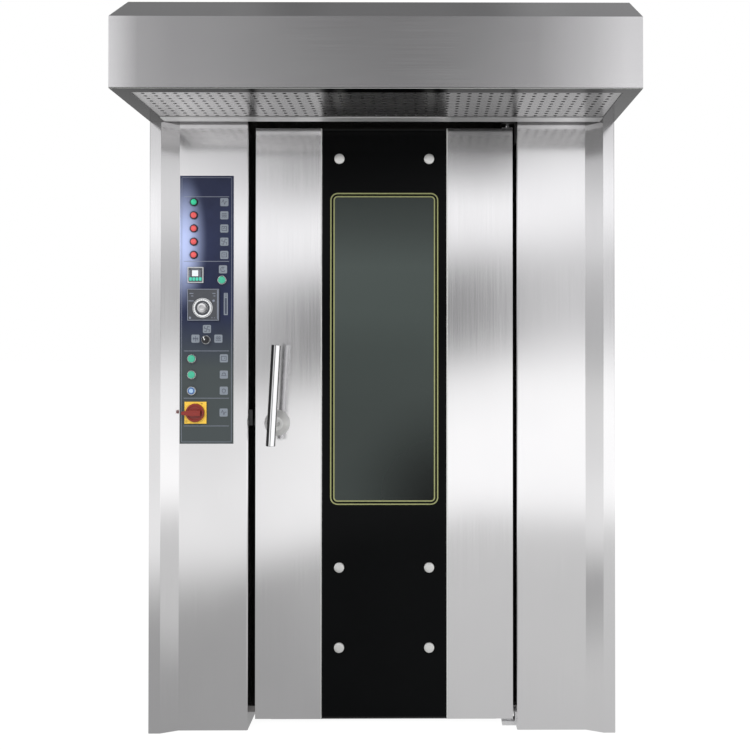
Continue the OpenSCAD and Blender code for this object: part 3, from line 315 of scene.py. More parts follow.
def brushed_metal(name, colour, rough, grain, contrast, bump):
    """Brushed sheet: streaks along the grain, cloudy sheen and fine scratches."""
    mat, tree, skin = new_material(name)
    streaks = noise(tree, grain, scale=1.0, detail=4.0, rough=0.65)
    stops = [(0.25, shade(colour, 1 - contrast)), (0.75, shade(colour, 1 + contrast))]
    tone = ramp(tree, streaks, stops)
    cloud = noise(tree, (1, 1, 1), scale=2.2, detail=3.0, rough=0.5)
    soft = ramp(tree, cloud, [(0.3, (0.94, 0.94, 0.945)), (0.7, 1.0)])
    wire(
        skin,
        Metallic=1.0,
        Base_Color=blended(tree, 1.0, tone, soft, "MULTIPLY"),
        Roughness=rescale(tree, streaks, 0.3, 0.7, rough * 0.88, rough * 1.15),
        Normal=dents(tree, streaks, bump, 0.0006),
    )
    return mat


def grainy(
    name, colour, rough, scale, contrast=0.12, metallic=0.0, bump=0.15, specular=0.5, coat=0.0
):
    """A cast, moulded, sprayed or woolly surface with a fine uneven tone."""
    mat, tree, skin = new_material(name)
    speckle = noise(tree, (1, 1, 1), scale, detail=5.0, rough=0.6)
    stops = [(0.3, shade(colour, 1 - contrast)), (0.7, shade(colour, 1 + contrast))]
    smooth, dull = max(0.02, rough - 0.05), min(1.0, rough + 0.05)
    wire(
        skin,
        Metallic=metallic,
        Specular_IOR_Level=specular,
        Coat_Weight=coat,
        Base_Color=ramp(tree, speckle, stops),
        Roughness=rescale(tree, speckle, first=smooth, last=dull),
    )
    if bump:
        wire(skin, Normal=dents(tree, speckle, bump, 0.0008))
    return mat


def moulded(name, colour, rough=0.3, contrast=0.12, **values):
    """Moulded plastic."""
    return grainy(name, colour, rough, 200.0, contrast, **values)


def printed(name, colour, contrast=0.05):
    """Ink on a plate or on glass."""
    return grainy(name, colour, 0.4, 300.0, contrast, bump=0)


def lit(name, colour, strength, rough=0.4):
    """A display or lens that glows faintly."""
    mat = grainy(name, colour, rough, 400.0, contrast=0.04, bump=0)
    wire(opened(mat)[1], Emission_Color=colour, Emission_Strength=strength)
    return mat


def clear_pane(name, colour, alpha):
    """Glass that lets part of what lies behind it show."""
    mat = grainy(name, colour, 0.05, 3.0, contrast=0.05, bump=0, specular=0.3)
    wire(opened(mat)[1], Alpha=alpha)
    return mat


def toned(mat, *tones):
    """The material with its colour multiplied by ramps (axis, low, high, kind, stops): painted
    light and shade.
    """
    for axis, low, high, kind, stops in tones:
        tree, skin, colour = opened(mat)
        tone = ramp(tree, along(tree, axis, low, high, kind), stops)
        wire(skin, Base_Color=blended(tree, 1.0, colour, tone, "MULTIPLY"))
    return mat


def tinted_window(name, colour):
    """The clear window: a dark tint with painted light, lightest above its middle, and painted
    shade at its lower right corner.
    """
    mat, tree, skin = new_material(name)
    stops = [(place, shade(colour, share)) for place, share in WINDOW_LIGHT_AND_SHADE]
    tone = ramp(tree, along(tree, "Z", WINDOW_FOOT, WINDOW_HEAD), stops)
    # Painted shade: the window darkens towards its lower right corner
    corner = patch(tree, GLASS_HI.x, WINDOW_FOOT, 0.36, 0.36)
    wire(
        skin,
        Base_Color=blended(tree, corner, tone, shade(colour, 0.1)),
        Roughness=0.12,
        Specular_IOR_Level=0.12,
        Alpha=0.93,
    )
    return mat


def printed_plate(name, colour, slate, glow):
    """The control plate: dark blue above, slate grey below, a painted pale sheen at its upper left.
    """
    mat = grainy(name, colour, 0.2, 9.0, contrast=0.2, bump=0, specular=0.22, coat=0.05)
    tree, skin, blue = opened(mat)
    down = ramp(tree, along(tree, "Z", PLATE_LO.z, PLATE_HI.z), [(0.28, 1.0), (0.48, 0.0)])
    tone = blended(tree, down, blue, slate)
    # Painted sheen: a soft patch at the upper left turns towards the glow colour
    sheen = patch(tree, PLATE_LO.x + 0.012, PLATE_HI.z - 0.2, 0.075, 0.225)
    wire(skin, Base_Color=blended(tree, maths(tree, "MULTIPLY", sheen, 0.95), tone, glow))
    return mat


def hood_metal(name, colour):
    """The hood's sheet with painted reflection and shade: paler towards its ends in front, dimmer
    on its slope, its sides and below.
    """
    mat = toned(
        brushed_metal(name, colour, 0.22, LEVEL_GRAIN, 0.03, 0.02),
        # Painted shade: faces turned down are near black, faces turned to the sides half as bright
        ("Z", -1.0, 0.0, "Normal", [(0.1, 0.08), (0.6, 1.0)]),
        ("X", -1.0, 1.0, "Normal", [(0.05, 0.5), (0.3, 1.0), (0.7, 1.0), (0.95, 0.5)]),
    )
    tree, skin, plain = opened(mat)
    # Painted reflection: brighter towards the ends of the front, banded across the slope
    across = along(tree, "X", HOOD_LO.x, HOOD_HI.x)
    upward = ramp(tree, along(tree, "Z", 0.0, 1.0, "Normal"), [(0.3, 0.0), (0.6, 1.0)])
    front, slope = ramp(tree, across, HOOD_SHEEN), ramp(tree, across, SLOPE_SHEEN)
    tone = blended(tree, upward, front, slope)
    wire(skin, Specular_Tint=grey(0.62), Base_Color=blended(tree, 1.0, plain, tone, "MULTIPLY"))
    return mat


def column_metal(name, colour):
    """The columns' sheet, with painted shade on its slanted folds, darker towards the hood."""
    mat = brushed_metal(name, colour, 0.13, UPRIGHT_GRAIN, 0.015, 0.008)
    tree, skin, plain = opened(mat)
    slanted = ramp(tree, along(tree, "X", -1.0, 1.0, "Normal"), SLANTED_FACES)
    # Painted shade: the slanted folds darken towards the hood
    dull = ramp(tree, along(tree, "Z", 0.0, HOOD_LO.z), BEVEL_SHADE)
    fold = blended(tree, 1.0, plain, dull, "MULTIPLY")
    wire(skin, Base_Color=blended(tree, slanted, plain, fold))
    return mat


def tray_metal(name, colour):
    """The door trays' sheet, with a painted dark reflection of the hood where the right one mirrors
    it.
    """
    mat = brushed_metal(name, colour, 0.13, UPRIGHT_GRAIN, 0.015, 0.008)
    tree, skin, plain = opened(mat)
    # Painted reflection of the hood: the upper right of the door is darker
    dim = patch(tree, DOOR_HI.x - 0.08, DOOR_HI.z, 0.32, 0.26)
    shadow = blended(tree, 1.0, plain, grey(0.5), "MULTIPLY")
    wire(skin, Base_Color=blended(tree, dim, plain, shadow))
    return mat


FINISHES = {}


def finishes():
    """One material per finish, made once."""
    if FINISHES:
        return FINISHES
    hues = bpy.context.scene.rack_oven_colours
    steel = tuple(hues.steel)
    across = ("X", HOOD_LO.x, HOOD_HI.x, "Object")
    FINISHES.update(
        hood_stainless=hood_metal("hood stainless", tuple(hues.hood)),
        # Painted reflection and shade on the filter sheet under the hood: banded along it, dark at
        # its ends, darker towards its back
        filter_sheet=toned(
            brushed_metal("filter sheet", (0.66, 0.65, 0.65), 0.26, LEVEL_GRAIN, 0.06, 0.02),
            (*across, FILTER_SHEEN),
            ("Y", HOOD_LO.y, HOOD_HI.y, "Object", [(0.5, 1.0), (0.9, 0.75)]),
        ),
        # Painted reflection bands along the gutter
        gutter_steel=toned(
            brushed_metal("gutter steel", (0.97, 0.965, 0.96), 0.55, LEVEL_GRAIN, 0.04, 0.02),
            (*across, GUTTER_SHEEN),
        ),
        # Painted shade: the hinge brackets darken upwards, towards the hood
        hinge_steel=toned(
            brushed_metal("hinge steel", (0.95, 0.95, 0.95), 0.6, LEVEL_GRAIN, 0.02, 0.01),
            ("Z", 0.0, HOOD_LO.z, "Object", [(0.2, 1.0), (0.6, 0.06)]),
        ),
        # Painted reflection: dark and bright bands round the handle bar
        bar_steel=toned(
            brushed_metal("bar steel", (0.93, 0.93, 0.94), 0.1, TURNED_GRAIN, 0.02, 0.008),
            ("X", -1.0, 1.0, "Normal", BAR_REFLECTION_BANDS),
        ),
        # Painted shade on the columns' slanted folds
        column_steel=column_metal("column stainless", steel),
        # Painted reflection of the hood on the right tray
        tray_steel=tray_metal("tray stainless", steel),
        # Near black: painted shade for the dark gap round the door, on the door frame
        stove_black=grainy(
            "door gap shade", (0.019, 0.018, 0.016), 0.6, 160.0, specular=0.12
        ),
        heater_steel=grainy("oxidised tube", (0.12, 0.115, 0.11), 0.5, 60.0, metallic=0.8),
        cast_iron=grainy(
            "cast iron", (0.06, 0.06, 0.062), 0.65, 140.0, metallic=0.5, bump=0.4
        ),
        motor_paint=grainy("motor enamel", (0.05, 0.1, 0.17), 0.35, 200.0, coat=0.2),
        painted_box=grainy("sprayed box", (0.42, 0.42, 0.4), 0.45, 260.0),
        mineral_wool=grainy("mineral wool", (0.5, 0.45, 0.28), 0.95, 90.0, 0.25, bump=0.6),
        seal_rubber=grainy("black silicone", (0.012, 0.012, 0.012), 0.6, 300.0, specular=0.25),
        black_glass=grainy(
            "enamelled glass", tuple(hues.enamel), 0.1, 4.0, 0.1, bump=0, specular=0.045
        ),
        # Near black: painted shade seen through the holes of the hood's filter sheet
        dark_gap=grainy("dark gap", (0.01, 0.01, 0.01), 0.8, 100.0, specular=0.1),
        window=tinted_window("tinted window", tuple(hues.tint)),
        clear_glass=clear_pane("inner pane", (0.05, 0.06, 0.055), 0.35),
        # Painted sheen: the last colour is the pale patch at the plate's upper left
        navy_plate=printed_plate(
            "printed plate", tuple(hues.plate), (0.05, 0.06, 0.062), (0.44, 0.51, 0.78)
        ),
        line=printed("window line", tuple(hues.line), 0.06),
        print_line=printed("light print", (0.2, 0.22, 0.27)),
        print_tile=printed("pictogram tile", (0.19, 0.215, 0.25), 0.06),
        print_mark=printed("pictogram", (0.04, 0.05, 0.08)),
        lamp_glass=lit("lamp cover", (0.9, 0.82, 0.62), 0.6),
        red_lens=lit("red lens", (0.6, 0.085, 0.085), 0.2, 0.2),
        green_lens=lit("green lens", (0.03, 0.45, 0.24), 0.2, 0.2),
        display=lit("display", (0.6, 0.64, 0.66), 0.15),
        digits=lit("digits", (0.05, 0.42, 0.3), 0.3),
        dark_plastic=moulded("black moulding", (0.012, 0.012, 0.014)),
        grey_plastic=moulded("grey moulding", (0.42, 0.43, 0.44), 0.4),
        dial_face=moulded("dial face", (0.05, 0.053, 0.062), 0.35, 0.08),
        green_plastic=moulded("green cap", (0.045, 0.38, 0.24), contrast=0.06, coat=0.2),
        blue_plastic=moulded("blue cap", (0.3, 0.45, 0.62), contrast=0.06, coat=0.2),
        deep_blue=moulded("blue ring", (0.04, 0.09, 0.26), 0.35, 0.06),
        white_plastic=moulded("white moulding", (0.72, 0.73, 0.74), 0.35, 0.04),
        yellow_plastic=moulded("yellow moulding", (0.8, 0.5, 0.05), 0.35, 0.05, coat=0.2),
        red_plastic=moulded("red moulding", (0.2, 0.014, 0.008), contrast=0.1, coat=0.3),
    )
    for finish, name, colour, rough, grain, contrast, bump in (
        ("brushed_stainless", "brushed stainless", steel, 0.13, UPRIGHT_GRAIN, 0.015, 0.008),
        ("mirror_stainless", "bright stainless", shade(steel, 0.98), 0.1, LEVEL_GRAIN, 0.02, 0.01),
        ("dark_steel", "dark steel", grey(0.06), 0.35, LEVEL_GRAIN, 0.05, 0.02),
        # Pale strips: painted highlights on the trays' edges and the hood's hem
        ("painted_highlight", "painted highlight strip", (0.95, 0.96, 0.93), 0.5, UPRIGHT_GRAIN, 0.01, 0.005),
        ("rosette_steel", "rosette steel", (0.96, 0.96, 0.94), 0.55, grey(60.0), 0.03, 0.02),
        ("galvanised", "galvanised sheet", (0.52, 0.53, 0.54), 0.42, grey(30.0), 0.12, 0.03),
        ("liner_steel", "liner sheet", (0.4, 0.39, 0.38), 0.45, LEVEL_GRAIN, 0.08, 0.03),
        ("satin_steel", "turned steel", grey(0.62), 0.24, (60.0, 60.0, 500.0), 0.05, 0.02),
        ("polished_steel", "polished steel", (0.8, 0.8, 0.81), 0.12, TURNED_GRAIN, 0.02, 0.008),
        ("brass", "brass", (0.7, 0.5, 0.2), 0.28, grey(50.0), 0.08, 0.03),
    ):
        FINISHES[finish] = brushed_metal(name, colour, rough, grain, contrast, bump)
    for finish, share in (("filter_sheet", 0.8), ("gutter_steel", 0.85)):
        wire(opened(FINISHES[finish])[1], Metallic=share)
    return FINISHES


# ---- mesh tools


def keep(name, bm, finish, body, slot=None, node=None, sharp=32.0):
    """Turns the mesh into a shaded piece on a body and hides the node it stands for; its slot is
    not used.
    """
    bmesh.ops.recalc_face_normals(bm, faces=bm.faces)
    mesh = bpy.data.meshes.new(name)
    bm.to_mesh(mesh)
    bm.free()
    mesh.materials.append(finishes()[finish])
    mesh.shade_smooth()
    mesh.set_sharp_from_angle(angle=math.radians(sharp))
    obj = bpy.data.objects.new(name, mesh)
    bpy.context.scene.collection.objects.link(obj)
    flat = obj.modifiers.new("flat faces", "WEIGHTED_NORMAL")
    flat.mode = "FACE_AREA"
    flat.weight = 100
    flat.keep_sharp = True
    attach(obj, body)
    if node:
        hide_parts(node)


def centre(node):
    """The X and Z of a node's middle."""
    low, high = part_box(node)
    return (low.x + high.x) / 2, (low.z + high.z) / 2


def halves(node):
    """Half of a node's width and height."""
    low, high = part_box(node)
    return (high.x - low.x) / 2, (high.z - low.z) / 2


def soften(bm, width, segments=2):
    """Rounds every edge that is sharper than 25 degrees."""
    sharp = math.radians(25.0)
    edges = [
        edge
        for edge in bm.edges
        if len(edge.link_faces) == 2 and edge.calc_face_angle(0.0) > sharp
    ]
    bmesh.ops.bevel(
        bm, geom=edges, offset=width, offset_type="OFFSET", segments=segments, profile=0.5,
        affect="EDGES", clamp_overlap=True,
    )


def block(bm, low, high):
    """A box between two corners."""
    low, high = Vector(low), Vector(high)
    place = Matrix.Translation((high + low) / 2) @ Matrix.Diagonal((*(high - low), 1))
    made = bmesh.ops.create_cube(bm, size=1.0)
    bmesh.ops.transform(bm, matrix=place, verts=made["verts"])


def prism(bm, outline, place, a, b):
    """A closed outline swept from a to b; place(u, v, w) gives the point."""
    near = [bm.verts.new(place(u, v, a)) for u, v in outline]
    far = [bm.verts.new(place(u, v, b)) for u, v in outline]
    bm.faces.new(near)
    bm.faces.new(far[::-1])
    for i in range(len(outline)):
        bm.faces.new((near[i - 1], far[i - 1], far[i], near[i]))


def loop_band(bm, outer, inner, y, a, b):
    """A frame between two outlines with the same number of points, in front of y."""
    place = on_front(y)
    rings = [
        [bm.verts.new(place(u, v, w)) for u, v in line]
        for line, w in ((outer, a), (inner, a), (inner, b), (outer, b))
    ]
    for i in range(len(outer)):
        for near, far in zip(rings, rings[1:] + rings[:1]):
            bm.faces.new((near[i - 1], near[i], far[i], far[i - 1]))


def lathe(bm, profile, matrix, steps=48):
    """A profile of (radius, height) points turned about the matrix's Z."""
    turns = [2 * math.pi * i / steps for i in range(steps)]
    rings = [
        [
            bm.verts.new(matrix @ Vector((r * math.cos(a), r * math.sin(a), h)))
            for a in (turns if r else turns[:1])
        ]
        for r, h in profile
    ]
    for low, high in zip(rings, rings[1:]):
        for i in range(steps):
            j = (i + 1) % steps
            places = ((low, i), (high, i), (high, j), (low, j))
            corners = dict.fromkeys(ring[k % len(ring)] for ring, k in places)
            bm.faces.new(list(corners))


def facing(x, y, z):
    """A place whose Z points out of the front, towards -Y."""
    return Matrix.Translation((x, y, z)) @ Matrix.Rotation(math.radians(90), 4, "X")


def on_front(y):
    """Places an outline drawn in X and Z at a depth in front of y."""
    return lambda u, v, w: (u, y - w, v)


def inked(bm, outline, y, thick=PRINT):
    """A flat shape that stands out of the front at y."""
    prism(bm, outline, on_front(y), 0, thick)


def strip(x0, z0, x1, z1):
    """The outline of a plain rectangle between two corners."""
    return [(x0, z0), (x1, z0), (x1, z1), (x0, z1)]


def round_rect(x, z, half_w, half_h, radius, steps=6):
    """A rectangle with rounded corners about (x, z)."""
    points = []
    for quarter, (sx, sz) in enumerate(((1, 1), (-1, 1), (-1, -1), (1, -1))):
        cx, cz = x + sx * (half_w - radius), z + sz * (half_h - radius)
        for i in range(steps + 1):
            a = math.radians(90 * (quarter + i / steps))
            points.append((cx + radius * math.cos(a), cz + radius * math.sin(a)))
    return points


def inked_rects(bm, x, z, rows, y, thick=PRINT, steps=2):
    """Flat rounded rectangles about (x, z); a row holds u, v, half sides and corner radius."""
    for u, v, half_w, half_h, r in rows:
        inked(bm, round_rect(x + u, z + v, half_w, half_h, r, steps), y, thick)


def ring_line(steps, start, turn, r=1.0):
    """Points of an arc, from a start through a turn in degrees."""
    angles = [math.radians(start + turn * i / steps) for i in range(steps + 1)]
    return [(r * math.cos(a), r * math.sin(a)) for a in angles]


def circle(x, z, r, steps):
    """The outline of a circle about (x, z), whose last step closes it."""
    turn = 360 - 360 / steps
    return [(x + r * a, z + r * b) for a, b in ring_line(steps, 0, turn)]


def strokes(bm, x, z, size, lines, width, y, depth):
    """Raised pen lines; each line is a row of points from -1 to 1."""
    for line in lines:
        spots = [Vector((x + u * size, z + v * size)) for u, v in line]
        for a, b in zip(spots, spots[1:]):
            run = (b - a).normalized() * width / 2
            side = Vector((-run.y, run.x))
            outline = [a - run - side, b + run - side, b + run + side, a - run + side]
            inked(bm, [tuple(p) for p in outline], y, depth)


def folded_outline(path, radius, steps=5):
    """The section of a sheet that runs along the path with rounded folds, on its left."""
    points = [Vector(p) for p in path]
    face, back = [], []

    def end(point, run):
        way = run.normalized()
        face.append(point)
        back.append(point + SHEET * Vector((-way.y, way.x)))

    end(points[0], points[1] - points[0])
    for a, b, c in zip(points, points[1:], points[2:]):
        before, after = (b - a).normalized(), (c - b).normalized()
        turn = math.atan2(before.x * after.y - before.y * after.x, before.dot(after))
        side = 1 if turn > 0 else -1
        r = radius if turn > 0 else radius - SHEET
        left = side * Vector((-before.y, before.x))
        middle = b - before * r * math.tan(abs(turn) / 2) + left * r
        for i in range(steps + 1):
            cos, sin = math.cos(turn * i / steps), math.sin(turn * i / steps)
            out = Vector((left.y * sin - left.x * cos, -left.x * sin - left.y * cos))
            face.append(middle + out * r)
            back.append(middle + out * (r - side * SHEET))
    end(points[-1], points[-1] - points[-2])
    return [tuple(p) for p in face + back[::-1]]


def node_mesh(node):
    """A copy of a node's mesh without doubled points."""
    bm = bmesh.new()
    bm.from_mesh(frame["nodes"][node].data)
    bmesh.ops.remove_doubles(bm, verts=bm.verts, dist=WELD)
    return bm


def softened_copy(node, finish, width, segments=2):
    """A piece with the node's own shape and rounded edges, shown in its place."""
    bm = node_mesh(node)
    flat = math.radians(0.5)
    bmesh.ops.dissolve_limit(bm, angle_limit=flat, verts=bm.verts, edges=bm.edges)
    soften(bm, width, segments)
    body = frame["nodes"][node]["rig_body"]
    keep(node + "_dressed", bm, finish, body, SLOTS[node], node)


def loose_boxes(node):
    """The boxes of a node's separate pieces, as low and high corners."""
    bm = node_mesh(node)
    left = set(bm.verts)
    boxes = []
    while left:
        queue, piece = [left.pop()], []
        while queue:
            vert = queue.pop()
            piece.append(vert.co.copy())
            near = {edge.other_vert(vert) for edge in vert.link_edges} & left
            left -= near
            queue.extend(near)
        boxes.append([Vector(pick(axis) for axis in zip(*piece)) for pick in (min, max)])
    bm.free()
    return sorted(boxes, key=lambda box: (round(box[0].z, 3), box[0].x))


# ---- operators

# Nodes whose finish in the picture differs from their slot's usual one
NODE_FINISHES = {
    "pilot_lamps": "red_lens",
    # Painted shade: the door frame is near black for the dark door gap
    "door_frame": "stove_black",
    "latch_keeper": "dark_steel",
    # The filter sheet carries painted reflection and shade
    "hood_filter": "filter_sheet",
    # The hinge steel carries painted shade
    "hinge_brackets": "hinge_steel",
}


class RACKOVEN_OT_finish_frame(bpy.types.Operator):
    """Gives every solid of the frame its finish"""

    bl_idname = "rackoven.finish_frame"
    bl_label = "Finish the frame"

    def execute(self, context):
        for name, obj in frame["nodes"].items():
            obj.data.materials.clear()
            obj.data.materials.append(finishes()[NODE_FINISHES.get(name, SLOTS[name])])
            obj.data.shade_smooth()
            obj.data.set_sharp_from_angle(angle=math.radians(30))
        return {"FINISHED"}


class RACKOVEN_OT_front_columns(bpy.types.Operator):
    """Folds the two front columns with rounded bends"""

    bl_idname = "rackoven.front_columns"
    bl_label = "Front columns"

    def execute(self, context):
        low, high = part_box("left_column")
        side_deep, outer_wide, bevel_wide = 0.04, 0.035, 0.05
        path = [
            (low.x, low.y + side_deep),
            (low.x, low.y),
            (low.x + outer_wide, low.y),
            (low.x + outer_wide + bevel_wide, PLATE_HI.y),
            (high.x, PLATE_HI.y),
            (high.x, high.y),
        ]
        outline = folded_outline(path, context.scene.rack_oven_sizes.fold_radius)
        for side, node in ((1, "left_column"), (-1, "right_column")):
            bm = bmesh.new()
            section = [(side * u, v) for u, v in outline]
            prism(bm, section, lambda u, v, w: (u, v, w), low.z, high.z)
            keep(node + "_folded", bm, "column_steel", "cabinet", "brushed_stainless", node, 12)
        return {"FINISHED"}


class RACKOVEN_OT_hood(bpy.types.Operator):
    """Softens the folds of the hood, its gutter and the header, and hems the hood below with a pale
    strip, a painted highlight
    """

    bl_idname = "rackoven.hood"
    bl_label = "Hood"

    def execute(self, context):
        edge = context.scene.rack_oven_sizes.edge_radius
        softened_copy("hood_shell", "hood_stainless", edge, 3)
        softened_copy("hood_gutter", "gutter_steel", edge)
        softened_copy("header_panel", "brushed_stainless", edge)
        # A hem under the hood's front whose pale colour is a painted highlight
        bm = bmesh.new()
        block(bm, HOOD_LO, (HOOD_HI.x, HOOD_LO.y + HEM, HOOD_LO.z + HEM))
        keep("hood_hem_highlight", bm, "painted_highlight", "cabinet", "brushed_stainless")
        return {"FINISHED"}


class RACKOVEN_OT_door_skins(bpy.types.Operator):
    """Softens the door's two trays and makes pale strips on their edges as painted highlights, the
    glass seat and the caps
    """

    bl_idname = "rackoven.door_skins"
    bl_label = "Door skins"

    def execute(self, context):
        edge = context.scene.rack_oven_sizes.edge_radius
        softened_copy("door_claddings", "tray_steel", edge * 0.8)
        dome = [
            (0, 0), (1, 0), (1, 0.62), (0.96, 0.72), (0.62, 0.94), (0.5, 0.985), (0.2, 1), (0, 1)
        ]
        bm = bmesh.new()
        for low, high in loose_boxes("stand_off_caps"):
            r, deep = (high.x - low.x) / 2, high.y - low.y
            place = facing((low.x + high.x) / 2, high.y, (low.z + high.z) / 2)
            lathe(bm, [(u * r, v * deep) for u, v in dome], place, 36)
        keep("stand_off_domes", bm, "rosette_steel", "door", "polished_steel", "stand_off_caps", 40)
        # Pale strips beside the glass: painted highlights on the trays' edges
        bm = bmesh.new()
        for x, side in ((GLASS_LO.x, -1), (GLASS_HI.x, 1)):
            near, far = sorted((x + side * GLASS_GAP, x + side * (GLASS_GAP + HIGHLIGHT_WIDTH)))
            block(bm, (near, DOOR_LO.y - PRINT, DOOR_LO.z), (far, DOOR_LO.y, DOOR_HI.z))
        keep("tray_edge_highlights", bm, "painted_highlight", "door", "brushed_stainless")
        bm = bmesh.new()
        seat_y = GLASS_HI.y - 2 * PRINT
        for foot, head in ((DOOR_LO.z, GLASS_LO.z), (GLASS_HI.z, DOOR_HI.z)):
            block(bm, (GLASS_LO.x, seat_y, foot), (GLASS_HI.x, GLASS_HI.y, head))
        keep("glass_seat", bm, "seal_rubber", "door", "seal_rubber")
        return {"FINISHED"}


class RACKOVEN_OT_door_glass(bpy.types.Operator):
    """Makes the full-height glass with its enamel, its clear window and two printed lines"""

    bl_idname = "rackoven.door_glass"
    bl_label = "Door glass"

    def execute(self, context):
        sizes = context.scene.rack_oven_sizes
        deep = GLASS_HI.y - GLASS_LO.y
        x, z = centre("inner_pane")
        wide, tall = (half - 0.006 for half in halves("inner_pane"))
        corner, half = sizes.window_corner, sizes.line_width / 2
        edge = round_rect(*centre("door_glass"), *halves("door_glass"), 0.004)
        hole = round_rect(x, z, wide, tall, corner)
        bm = bmesh.new()
        loop_band(bm, edge, hole, GLASS_HI.y, 0, deep)
        keep("glass_border", bm, "black_glass", "door", "black_glass", "door_glass")
        bm = bmesh.new()
        inked(bm, hole, GLASS_HI.y, deep)
        keep("glass_window", bm, "window", "door", "black_glass")
        bm = bmesh.new()
        for grow in (0.0, sizes.line_gap):
            outer, inner = (
                round_rect(x, z, wide + more, tall + more, corner + more)
                for more in (grow + half, grow - half)
            )
            loop_band(bm, outer, inner, GLASS_LO.y, 0, PRINT)
        keep("window_lines", bm, "line", "door")
        return {"FINISHED"}


class RACKOVEN_OT_handle(bpy.types.Operator):
    """Turns the bar, its neck and the conical rosette with crisp small edges"""

    bl_idname = "rackoven.handle"
    bl_label = "Handle"

    def execute(self, context):
        low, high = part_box("door_handle")
        rose_lo, rose_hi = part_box("rosette")
        x, z = centre("rosette")
        out = facing(x, rose_hi.y, z)
        half, r, edge = 0.15, 0.014, 0.0012
        bar_y = low.y + r
        lean, middle_up = math.radians(3.15), 0.09
        tilt = (
            Matrix.Translation((x, bar_y, z))
            @ Matrix.Rotation(lean, 4, "Y")
            @ Matrix.Translation((0, 0, middle_up))
        )
        bm = bmesh.new()
        ends = [(0, half), (r - edge, half), (r, half - edge)]
        lathe(bm, [(u, -v) for u, v in ends] + ends[::-1], tilt, 40)
        reach = rose_hi.y - bar_y
        neck, spindle, foot = 0.012, 0.008, -0.0275
        profile = [
            (0, foot), (r, foot), (r, foot + 0.008), (spindle, foot + 0.008), (spindle, 0),
            (neck, 0), (neck, reach - 0.016), (neck * 1.06, reach - 0.012), (neck * 1.06, reach),
            (0, reach),
        ]
        lathe(bm, profile, out, 40)
        keep("handle_bar", bm, "bar_steel", "handle", "polished_steel", "door_handle", 30)
        bm = bmesh.new()
        block(bm, (low.x, high.y - 0.008, z - 0.009), (x, high.y, z + 0.009))
        keep("latch_tongue", bm, "dark_steel", "handle", "polished_steel")
        height = rose_hi.y - rose_lo.y
        base = (rose_hi.x - rose_lo.x) / 2
        bore = neck + 0.0001
        profile = [
            (bore, 0), (base, 0), (base, 0.0022), (base - 0.0012, 0.0036),
            (0.0235, height - 0.0035), (0.0215, height - 0.0008), (0.019, height),
            (bore, height), (bore, 0),
        ]
        bm = bmesh.new()
        lathe(bm, profile, out, 56)
        bmesh.ops.remove_doubles(bm, verts=bm.verts, dist=WELD)
        keep("rosette_cone", bm, "rosette_steel", "door", "satin_steel", "rosette", 25)
        return {"FINISHED"}


class RACKOVEN_OT_filter_shade(bpy.types.Operator):
    """Lays a dark sheet on the perforated sheet of the hood: painted shade seen through its holes
    """

    bl_idname = "rackoven.filter_mat"
    bl_label = "Filter shade"

    def execute(self, context):
        low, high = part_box("hood_filter")
        inset, lift, thick = 0.012, 0.001, 0.006
        foot = Vector((low.x + inset, low.y + inset, high.z + lift))
        bm = bmesh.new()
        block(bm, foot, (high.x - inset, high.y - inset, high.z + lift + thick))
        soften(bm, 0.0015)
        # A dark sheet standing for the shade inside the hood, seen through the holes
        keep("filter_mat", bm, "dark_gap", "cabinet", "mirror_stainless")
        return {"FINISHED"}


FAN_SIGN = [
    [(0.12, 0.12), (0.25, 0.9), (0.9, 0.75)],
    [(0.12, -0.12), (0.9, -0.25), (0.75, -0.9)],
    [(-0.12, -0.12), (-0.25, -0.9), (-0.9, -0.75)],
    [(-0.12, 0.12), (-0.9, 0.25), (-0.75, 0.9)],
]
BOX_SIGN = [[(-0.8, -0.7), (0.8, -0.7), (0.8, 0.7), (-0.8, 0.7), (-0.8, -0.7)]]
SPARK_SIGN = [[(-0.9, -0.1), (-0.35, 0.75), (0.1, -0.75), (0.45, 0.15), (0.9, 0.1)]]
WAVE_SIGN = [
    [(-0.8, h), (-0.4, h + 0.22), (0.0, h), (0.4, h + 0.22), (0.8, h)] for h in (-0.65, -0.1, 0.45)
]
TURN_SIGN = [ring_line(8, 60, 270, 0.8), [(0.0, 0.0), (0.0, 0.55)]]
PLUS_SIGN = [
    [(-0.85, 0.0), (0.85, 0.0)],
    [(0.0, -0.85), (0.0, 0.85)],
    [(-0.6, 0.45), (-0.6, -0.45)],
    [(0.6, 0.45), (0.6, -0.45)],
]
LAMP_SIGN = [ring_line(8, -50, 280, 0.6), [(-0.3, -0.75), (0.3, -0.75)]]
RISE_SIGN = [[(-0.8, -0.35), (0.8, -0.35)], ring_line(6, 0, 180, 0.6)]
LAMP_FOOT, LAMP_STEP = 0.571, 0.04

# The plate's tiles: from its left edge, above its foot, and the sign
TILES = [
    (0.134, LAMP_FOOT, BOX_SIGN + [[(-0.3, 0.0), (0.35, 0.0)]]),
    (0.134, LAMP_FOOT + LAMP_STEP, FAN_SIGN),
    (0.134, LAMP_FOOT + 2 * LAMP_STEP, BOX_SIGN + [[(-0.35, -0.1), (0.0, 0.3), (0.35, -0.1)]]),
    (0.134, LAMP_FOOT + 3 * LAMP_STEP, WAVE_SIGN),
    (0.134, LAMP_FOOT + 4 * LAMP_STEP, SPARK_SIGN),
    (0.1303, 0.5272, TURN_SIGN),
    (0.0822, 0.3467, FAN_SIGN),
    (0.0476, 0.3175, PLUS_SIGN),
    (0.1167, 0.3175, WAVE_SIGN),
    (0.1335, 0.2581, BOX_SIGN + [[(0.25, -0.1), (0.25, 0.15)]]),
    (0.1335, 0.2089, RISE_SIGN),
    (0.1335, 0.1603, LAMP_SIGN),
    (0.133, 0.0943, SPARK_SIGN),
]
DIVIDERS = (0.0538, 0.1377, 0.2804, 0.5516, 0.7472)


